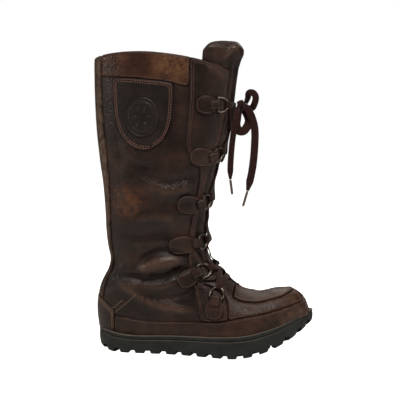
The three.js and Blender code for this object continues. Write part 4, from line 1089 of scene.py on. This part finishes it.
def tab_fold(name, held):
    """The neck's leather, folded round the bar: a sheet bent in a narrow loop, sewn on the tab."""
    middle = WIRE_RADIUS + GAP + FOLD_LEATHER / 2
    upper_leg = [(-11.0, -0.7), (-8.0, -0.3), (-5.0, 0.6), (-2.4, 1.9)]
    bend = [(middle * math.sin(t), middle * math.cos(t)) for t in np.linspace(0, math.pi, 13)]
    lower_leg = [(-3.0, -2.2), (-7.0, -2.3)]
    path = np.array(upper_leg + bend + lower_leg)
    way = unit(np.gradient(path, axis=0))
    out = np.stack([-way[:, 1], way[:, 0]], 1)
    points, across = [], np.linspace(-1, 1, 7)
    half = 0.5 * FOLD_LEATHER
    width = 0.82 * TAB_NECK
    for (forward, up), (of, ou) in zip(path, out):
        ring = [(width * a, half * (1 - 0.35 * abs(a) ** 6)) for a in across]
        ring += [(width * a, -half * (1 - 0.35 * abs(a) ** 6)) for a in across[::-1]]
        start = held.centre + held.ahead * forward + held.normal * up
        away = held.ahead * of + held.normal * ou
        points += [start + away * h + held.bar * b for b, h in ring]
    sides, count = 2 * len(across), len(path)
    faces = wall_faces(count, sides)
    faces += [tuple(range(sides)), tuple((count - 1) * sides + k for k in range(sides))[::-1]]
    edges = np.tile(np.tile(width * (1 - np.abs(across)), 2), count)
    return face_outward(make_mesh(name, points, faces, {"edge": edges + 0.2, "fold": 0 * edges}))


def joined(*made):
    """Several meshes as one piece."""
    bpy.context.view_layer.update()
    with bpy.context.temp_override(active_object=made[0], selected_editable_objects=list(made)):
        bpy.ops.object.join()
    return made[0]


frames = {side: [RingFrame(row, sign) for row in RING_ROWS]
          for side, sign in (("lateral", -1), ("medial", 1))}
tab_seams = []
for side, side_frames in frames.items():
    for i, held in enumerate(side_frames, 1):
        finish(ring_wire(f"ring_wire_{side}_{i}", held), steel, "ring_steel", f"ring_{side}_{i}")
        middle = held.centre - held.ahead * 0.5 * held.length
        fan, turn = closest(lambda p: np.linalg.norm(p - middle, axis=-1), side_turns(held.side))
        skin = around(fan, turn, TAB_REACH, TAB_STEP)
        field = tab_field(held, skin)
        plate = leather_piece(f"tab_leather_{side}_{i}", skin, field, TAB_FLOOR, TAB_FLOOR + OVERLAY)
        tab_seams.append((skin, field))
        tab = joined(plate, tab_fold(f"tab_fold_{side}_{i}", held))
        finish(tab, tab_leather, "dark_leather", f"tab_{side}_{i}")

# Badge: an oval of thick leather on the patch, 46 mm wide and 53 mm tall. It is pressed with a raised
# rim and a plain rosette.
BADGE_PLACE, BADGE_RISE = on_shaft((0.368, 0.785))[0], 0.8
BADGE_HALF_X, BADGE_HALF_Z = 0.121 * SHAFT_DEPTH, 0.066 * SHAFT_HEIGHT
disc = around(*seat(*BADGE_PLACE, -1), 30, 0.8)


def on_badge(point):
    """A point's place on the badge, as shares of its half width and half height."""
    return (point[..., 0] - BADGE_PLACE[0]) / BADGE_HALF_X, (point[..., 2] - BADGE_PLACE[1]) / BADGE_HALF_Z


disc_field = disc.on_surface((1 - np.hypot(*on_badge(disc.point))) * min(BADGE_HALF_X, BADGE_HALF_Z))


def pressed(fan, turn, far):
    """The badge's relief: a rim, a ring and six leaves."""
    a, b = on_badge(last_point(fan, turn))
    out = np.hypot(a, b)
    leaves = np.maximum(0, np.cos(6 * np.arctan2(b, a))) ** 2 * np.exp(-((out - 0.42) / 0.16) ** 2)
    return (0.8 * np.exp(-((far - 1.6) / 1.1) ** 2) + 0.8 * np.exp(-((out - 0.74) / 0.04) ** 2)
            + 1.1 * leaves - 0.5 * (far > 0.1))


badge = leather_piece("badge_leather", disc, disc_field, TAB_FLOOR, TAB_FLOOR + BADGE_RISE, pressed)
finish(badge, patch_leather, "dark_leather", "badge")

# Laces: one flat woven cotton lace, run crosswise through the rings. From each ring's hole it goes out
# over the wire to one side and out under the wire to the other; the upper of two crossings lies on top.
LACE_WIDTH, LACE_THICKNESS, LACE_REST, KNOT_SIZE, AGLET_RADIUS = 8, 1.5, 4.2, 13, 1.7
LACE_SIDES, LACE_STEP, CROSSING_HEIGHT = 16, 1.6, 2.4


def ribbon(name, centres, facings, width=LACE_WIDTH, thickness=LACE_THICKNESS, narrow=None):
    """A flat woven lace along smooth points, its flat side to the facings; narrow scales it along."""
    rows, looks = np.asarray(centres, float), np.asarray(facings, float)
    fine = np.linspace(0, len(rows) - 1, 200)
    run = run_along(smooth_rows(rows, fine))
    steps = max(8, int(run[-1] / LACE_STEP))
    at = np.interp(np.linspace(0, run[-1], steps), run, fine)
    line, look = smooth_rows(rows, at), smooth_rows(looks, at)
    way = unit(np.gradient(line, axis=0))
    across = unit(np.cross(way, look))
    out = np.cross(across, way)
    size = np.ones(steps) if narrow is None else np.interp(np.linspace(0, 1, steps), *narrow)
    turns = np.arange(LACE_SIDES) * 2 * math.pi / LACE_SIDES
    wide, thick = (np.sign(wave) * np.abs(wave) ** 0.7 * reach / 2
                   for wave, reach in ((np.cos(turns), width), (np.sin(turns), thickness)))
    points = (line[:, None] + across[:, None] * (wide[None, :] * size[:, None])[..., None]
              + out[:, None] * (thick[None, :] * (2 - size[:, None]) ** 0.8)[..., None])
    faces = wall_faces(steps, LACE_SIDES)
    faces += [tuple(range(LACE_SIDES)), tuple((steps - 1) * LACE_SIDES + k for k in range(LACE_SIDES))]
    length = np.repeat(np.linspace(0, run[-1], steps), LACE_SIDES)
    made = make_mesh(name, points.reshape(-1, 3), faces, {"along": length, "across": np.tile(wide, steps)})
    made["lace_length"] = float(run[-1])
    return face_outward(made), line


# Woven cotton, dyed dark burgundy: the herringbone is drawn at 1.6 mm, coarser than the real 0.8 mm.
cotton, tree = new_material("woven_cotton_lace")
along, across = read_marks(tree, "along", "across")
slant = maths(tree, "ADD", along, maths(tree, "ABSOLUTE", across))
rib = maths(tree, "SINE", maths(tree, "MULTIPLY", slant, 2 * math.pi / 1.6))
cross = maths(tree, "SINE", maths(tree, "MULTIPLY", across, 2 * math.pi / 1.0))
weave = maths(tree, "MULTIPLY", rib, cross)
lint = noise(tree, in_place(tree), 700.0, detail=3.0)
dyed = dimmed(tree, linear("#2d1412")[:3], spread(tree, weave, (-1.0, 1.0), (0.75, 1.15)))
rib_bump = bump(tree, weave, 0.6, 0.0003)
surface(tree, {"Base Color": dyed, "Roughness": 0.9, "Specular IOR Level": 0.2, "Sheen Weight": 0.12,
               "Normal": bump(tree, lint, 0.3, 0.0002, Normal=rib_bump)})


def on_front(place, offset):
    """The place straight in front of the last nearest to a place, and the way outward there."""
    fan, turn = closest(lambda p: np.linalg.norm(p - place, axis=-1), (np.arange(21) - 10) * 0.15)
    normal = last_normal(fan, turn)
    return last_point(fan, turn) + normal * offset, normal


BEND = WIRE_RADIUS + LACE_THICKNESS / 2 + GAP


def through(held, side_of_wire):
    """The lace at a ring: in the hole, bent round the wire, and out over (1) or under (-1) it."""
    bends = (0.0, math.pi / 4, math.pi / 2)
    place = [held.at(RING_REACH - BEND * math.cos(t), 0, side_of_wire * BEND * math.sin(t)) for t in bends]
    look = [-held.lean * math.cos(t) + held.over * side_of_wire * math.sin(t) for t in bends]
    place.append(held.at(RING_REACH + 4.5, 0, side_of_wire * 0.55 * BEND - 0.8))
    look.append(held.over * side_of_wire)
    if side_of_wire < 0:
        look = [-one for one in look]
    return place, look


def crossing(name, start, start_side, end, end_side, lift):
    """A lace from one ring to another over the tongue."""
    first, first_looks = through(start, start_side)
    last, last_looks = through(end, end_side)
    places, looks = list(first), list(first_looks)
    for share in (0.3, 0.5, 0.7):
        chord = first[-1] * (1 - share) + last[-1] * share
        place, look = on_front(chord, CROSSING_HEIGHT + lift * (1 if share == 0.5 else 0.5))
        places.append(place)
        looks.append(look)
    return ribbon(name, places + last[::-1], looks + last_looks[::-1])[0]


crossings = [crossing("lace_bottom_bar", frames["lateral"][-1], -1, frames["medial"][-1], -1, 0)]
for i in range(len(RING_ROWS) - 1):
    upper_l, upper_m = frames["lateral"][i], frames["medial"][i]
    lower_l, lower_m = frames["lateral"][i + 1], frames["medial"][i + 1]
    crossings.append(crossing(f"lace_cross_{i}_a", lower_l, 1, upper_m, -1, 0))
    crossings.append(crossing(f"lace_cross_{i}_b", lower_m, 1, upper_l, -1, 1.1 * LACE_THICKNESS))
crossings.append(crossing("lace_top_bar", frames["lateral"][0], 1, frames["medial"][0], 1, 2.0))
finish(joined(*crossings), cotton, "lace_textile", "lace_crossings")

# Knot, bow and ends: the same lace, tied in a slack bow that hangs in front of the tongue. The ends
# are bunched where their tips are shrunk on. Places are in mm from the knot's middle.
knot_seat = frames["lateral"][0].fan, 0.0
knot_lift = LACE_REST + LACE_THICKNESS / 2 + 2 * GAP + KNOT_SIZE / 2
knot_middle = (last_point(*knot_seat) + last_normal(*knot_seat) * knot_lift) * np.array([1, 0, 1])
CORDS = {  # the lace's width, then its route
    "bow_loop_small": (8.8, [(6.16, -1.7, 2.74), (9, -5, 9), (11, -9, 15.5), (17, -10, 15), (20, -9.5, 8),
                             (15, -5, -4), (6.4, -1.8, -2.1)]),
    "bow_loop_broad": (11.8, [(-1.85, -2.1, -6.25), (-4.5, -8, -16), (-5.5, -12, -27), (-1.5, -13, -34),
                              (6, -12, -33), (11, -8, -20), (3.1, -2.1, -5.9)]),
    "lace_end_long": (10, [(3.6, -6.8, -1.6), (9, -12, -5), (15, -12.5, -16), (19, -10.5, -33),
                           (18.5, -9.5, -59), (15.5, -8.5, -86), (9.5, -7.5, -113)]),
    "lace_end_short": (8, [(-3.9, -6.9, -3.1), (-4.4, -14, -10), (-5.5, -18, -24), (-9.5, -17, -45),
                           (-12.5, -13.5, -76), (-13, -12, -98)]),
}
AGLETS = {"aglet_long": [(9.42, -7.48, -113.4), (3.4, -6.9, -134)],
          "aglet_short": [(-12.95, -11.97, -98.6), (-10.5, -11, -118)]}

# Lace tips: clear film shrunk on the lace's end, dark and glossy over the bunched cotton.
tip_film, tree = new_material("shrunk_film_tip")
surface(tree, {"Base Color": linear("#5b4c48"), "Roughness": 0.3, "Coat Weight": 0.6})

for name, ends in AGLETS.items():
    line = knot_middle + np.linspace(*np.array(ends), 12)
    line[:, 1] += 0.001 * np.arange(12)
    radius = AGLET_RADIUS * np.array([0.8] + [1] * 9 + [0.96, 0.7])
    finish(tube(name + "_tip", line, radius, sides=14), tip_film, "aglet_metal", name)

wrap_turns = [(math.cos(t), math.sin(t)) for t in np.linspace(0, 2 * math.pi, 13)]
wraps = []
for k, (tilt, size) in enumerate([(0.35, 1.0), (-0.5, 0.86), (1.3, 0.8)]):
    side_way = np.array([0.0, 1.0, 0.0])
    up_way = np.cross([math.cos(tilt), 0.0, math.sin(tilt)], side_way)
    places = [knot_middle + size * (6.2 * c * side_way + 5.6 * s * up_way) for c, s in wrap_turns]
    looks = [c * side_way + s * up_way for c, s in wrap_turns]
    wraps.append(ribbon(f"knot_wrap_{k}", places, looks, width=8.4, thickness=2.2)[0])
knot = finish(joined(*wraps), cotton, "lace_textile", "lace_knot")

for name, (width, route) in CORDS.items():
    places = knot_middle + np.array(route)
    ends = name.startswith("lace_end")
    radial = unit(np.cross(np.gradient(places, axis=0), [0.0, 1.0, 0.0]))
    looks = np.tile([0.0, -1.0, 0.0], (len(places), 1)) + (0.0 if ends else 0.2 * radial)
    narrow = ([0, 0.15, 0.9, 1], [0.8, 1, 1, 0.42]) if ends else ([0, 0.2, 0.8, 1], [0.7, 1, 1, 0.7])
    lace, line = ribbon(name + "_lace", places, looks, width=width, narrow=narrow)
    finish(lace, cotton, "lace_textile", name)


# Stitching: waxed thread, dull rose round the patch, brown and tan elsewhere. A seam follows a cut line
# at a set distance; its stitches are short threads laid end to end by a node group, kept as plain mesh.
def level_line(grid, field, level):
    """The runs of places (fan, turn) where a field has one level."""
    links, place_of = {}, {}
    values = field - level
    quad = [values[:-1, :-1], values[1:, :-1], values[1:, 1:], values[:-1, 1:]]
    crossed = (np.minimum.reduce(quad) < 0) & (np.maximum.reduce(quad) > 0)
    for i, j in zip(*np.nonzero(crossed)):
        ring = [(i, j), (i + 1, j), (i + 1, j + 1), (i, j + 1)]
        hits = []
        for a, b in zip(ring, ring[1:] + ring[:1]):
            va, vb = values[a], values[b]
            if (va < 0) != (vb < 0):
                key = (min(a, b), max(a, b))
                t = va / (va - vb)
                place_of[key] = tuple(g[a] + t * (g[b] - g[a]) for g in (grid.fan, grid.turn))
                hits.append(key)
        for one, two in zip(hits[::2], hits[1::2]):
            links.setdefault(one, []).append(two)
            links.setdefault(two, []).append(one)
    runs, used = [], set()
    for start in sorted(links, key=lambda key: len(links[key])):
        if start in used:
            continue
        run, here = [start], start
        used.add(start)
        while True:
            onward = [key for key in links[here] if key not in used]
            if not onward:
                break
            here = onward[0]
            used.add(here)
            run.append(here)
        if len(run) > 3:
            runs.append(np.array([place_of[key] for key in run]))
    return runs


def stitch_places(run, offset, pitch, keep=None, sway=0.0):
    """Places, ways and outward directions of the stitches along one run."""
    at = np.linspace(0, len(run) - 1, 6 * len(run))
    fan, turn = (np.interp(at, np.arange(len(run)), run[:, k]) for k in (0, 1))
    line = leather_point(fan, turn, np.full(fan.shape, offset))
    travelled = run_along(line)
    marks = np.arange(pitch / 2, travelled[-1], pitch)
    if len(marks) < 2:
        return None
    fan, turn = np.interp(marks, travelled, fan), np.interp(marks, travelled, turn)
    place = leather_point(fan, turn, np.full(fan.shape, offset))
    out = last_normal(fan, turn)
    way = np.gradient(place, axis=0)
    way /= np.maximum(np.linalg.norm(way, axis=1, keepdims=True), 1e-9)
    if sway:
        zig = np.where(np.arange(len(marks)) % 2, 1, -1)[:, None]
        way = way + zig * sway * np.cross(out, way)
    kept = np.ones(len(marks), bool) if keep is None else keep(place)
    return np.hstack([place, way, out])[kept]


def seam(grid, field, level, offset, pitch=3.4, keep=None, sway=0.0):
    runs = [stitch_places(run, offset, pitch, keep, sway) for run in level_line(grid, field, level)]
    return [run for run in runs if run is not None]


def seam_through(points, offset, pitch):
    """A seam along a line drawn in the side view, on the boot's outer side."""
    run = np.array([closest(lambda p: np.hypot(p[..., 0] - x, p[..., 2] - z) + 0.02 * p[..., 1],
                            side_turns(-1, 45)) for x, z in rounded(points)])
    made = stitch_places(run, offset, pitch)
    return [] if made is None else [made]


def stitching_group(material):
    """The node group that lays one thread on every point, along its way."""
    group = bpy.data.node_groups.new("lay_stitches", "GeometryNodeTree")
    for socket, kind in (("Geometry", "NodeSocketGeometry"), ("Stitch Length", "NodeSocketFloat"),
                         ("Thread Thickness", "NodeSocketFloat")):
        group.interface.new_socket(socket, in_out="INPUT", socket_type=kind)
    group.interface.new_socket("Geometry", in_out="OUTPUT", socket_type="NodeSocketGeometry")

    def step(kind, output, inputs, **settings):
        return add(group, kind, inputs, **settings).outputs[output]

    def mark(name):
        return step("GeometryNodeInputNamedAttribute", "Attribute", {"Name": name}, data_type="FLOAT_VECTOR")

    given = add(group, "NodeGroupInput").outputs
    length, thickness = given["Stitch Length"], given["Thread Thickness"]
    size = step("ShaderNodeCombineXYZ", "Vector", {"X": length, "Y": thickness, "Z": thickness})
    fibre = step("GeometryNodeMeshUVSphere", "Mesh", {"Segments": 6, "Rings": 5, "Radius": 0.5})
    shaped = step("GeometryNodeTransform", "Geometry", {"Geometry": fibre, "Scale": size})
    stood = step("FunctionNodeAlignRotationToVector", "Rotation", {"Vector": mark("out")}, axis="Z")
    turned = step("FunctionNodeAlignRotationToVector", "Rotation",
                  {"Rotation": stood, "Vector": mark("way")}, axis="X", pivot_axis="Z")
    laid = step("GeometryNodeInstanceOnPoints", "Instances",
                {"Points": given["Geometry"], "Instance": shaped, "Rotation": turned})
    real = step("GeometryNodeRealizeInstances", "Geometry", {"Geometry": laid})
    coloured = step("GeometryNodeSetMaterial", "Geometry", {"Geometry": real, "Material": material})
    add(group, "NodeGroupOutput", {"Geometry": coloured})
    return group


def sew(name, runs, material, slot, length=2.7, thickness=0.75):
    rows = np.vstack(runs)
    mesh = bpy.data.meshes.new(name)
    mesh.from_pydata([tuple(p) for p in rows[:, :3] * 0.001], [], [])
    for mark, columns in (("way", rows[:, 3:6]), ("out", rows[:, 6:9])):
        vectors = mesh.attributes.new(mark, "FLOAT_VECTOR", "POINT").data
        vectors.foreach_set("vector", columns.astype(np.float32).ravel())
    made = linked(name, mesh)
    laying = made.modifiers.new("stitches", "NODES")
    laying.node_group = stitching_group(material)
    sizes = {"Stitch Length": length * 0.001, "Thread Thickness": thickness * 0.001}
    for socket in laying.node_group.interface.items_tree:
        if socket.name in sizes:
            laying[socket.identifier] = sizes[socket.name]
    made.update_tag()
    bpy.context.view_layer.update()
    plain = bpy.data.meshes.new_from_object(made.evaluated_get(bpy.context.evaluated_depsgraph_get()))
    made.modifiers.clear()
    made.data = plain
    made.data.shade_smooth()
    finish(made, None, slot)


def thread(name, colour):
    """Waxed polyester thread, slightly glossy."""
    made, tree = new_material(name)
    surface(tree, {"Base Color": linear(colour), "Roughness": 0.55})
    return made


def off_sole(place):
    return place[:, 2] > lip_height(place[:, 0]) + 6


def off_throat(place):
    return off_sole(place) & (place[:, 2] < collar_height(place[:, 0]) - 1)


def at_heel(place):
    return off_sole(place) & (place[:, 0] < -2)


def at_toe(place):
    return off_sole(place) & (place[:, 0] > 150) & (place[:, 2] < 95)


SECOND_ROW = SEAM_MARGIN + 2.6
patch_runs = seam(whole, lines.patch, SEAM_MARGIN, SEWN_TOP) + seam(whole, lines.patch, SECOND_ROW, SEWN_TOP)
sew("patch_stitches", patch_runs, thread("waxed_thread_rose", "#8a5e50"), "lace_textile", 2.4, 1.1)
brown_runs = []
for half in (lines.lateral, lines.medial):
    border, band = (np.minimum(field, half) for field in (lines.eyestay, lines.collar_band))
    brown_runs += seam(whole, border, SEAM_MARGIN, SEWN_TOP, 3.0, off_throat, 0.5)
    brown_runs += seam(whole, border, SEAM_MARGIN + 2.7, SEWN_TOP, 3.0, off_throat, -0.5)
    brown_runs += seam(whole, band, SEAM_MARGIN, SEWN_TOP, 3.2)
brown_runs += seam(whole, lines.back_strip, SEAM_MARGIN, SEWN_TOP + 0.3, 3.4, off_throat)
brown_runs += seam(whole, lines.rand, SEAM_MARGIN, SEWN_TOP, 3.4, off_sole)
brown_runs += seam(whole, lines.vamp, SEAM_MARGIN, SEWN_TOP, 3.4, at_toe)
for grid, field in tab_seams:
    brown_runs += seam(grid, field, 2.2, TAB_FLOOR + OVERLAY, 2.8)
sew("seam_stitches", brown_runs, thread("waxed_thread_brown", "#5d3d34"), "lace_textile", 2.6, 1.0)

pale_runs = seam(whole, lines.heel_counter, SEAM_MARGIN, SEWN_TOP, 3.2, at_heel)
pale_runs += seam(whole, lines.heel_counter, SECOND_ROW, SEWN_TOP, 3.2, at_heel)
pale_runs += seam_through([(-33, 74), (-15, 54), (3, 70)], 0.2, 3.0)
pale_runs += seam_through([(-9, 52), (8, 66), (24, 80)], 0.2, 3.0)
pale_runs += seam(whole, lines.apron, 4.6, SEWN_TOP, 4.0, at_toe)
sew("pale_stitches", pale_runs, thread("waxed_thread_tan", "#86694f"), "lace_textile", 2.8, 1.0)
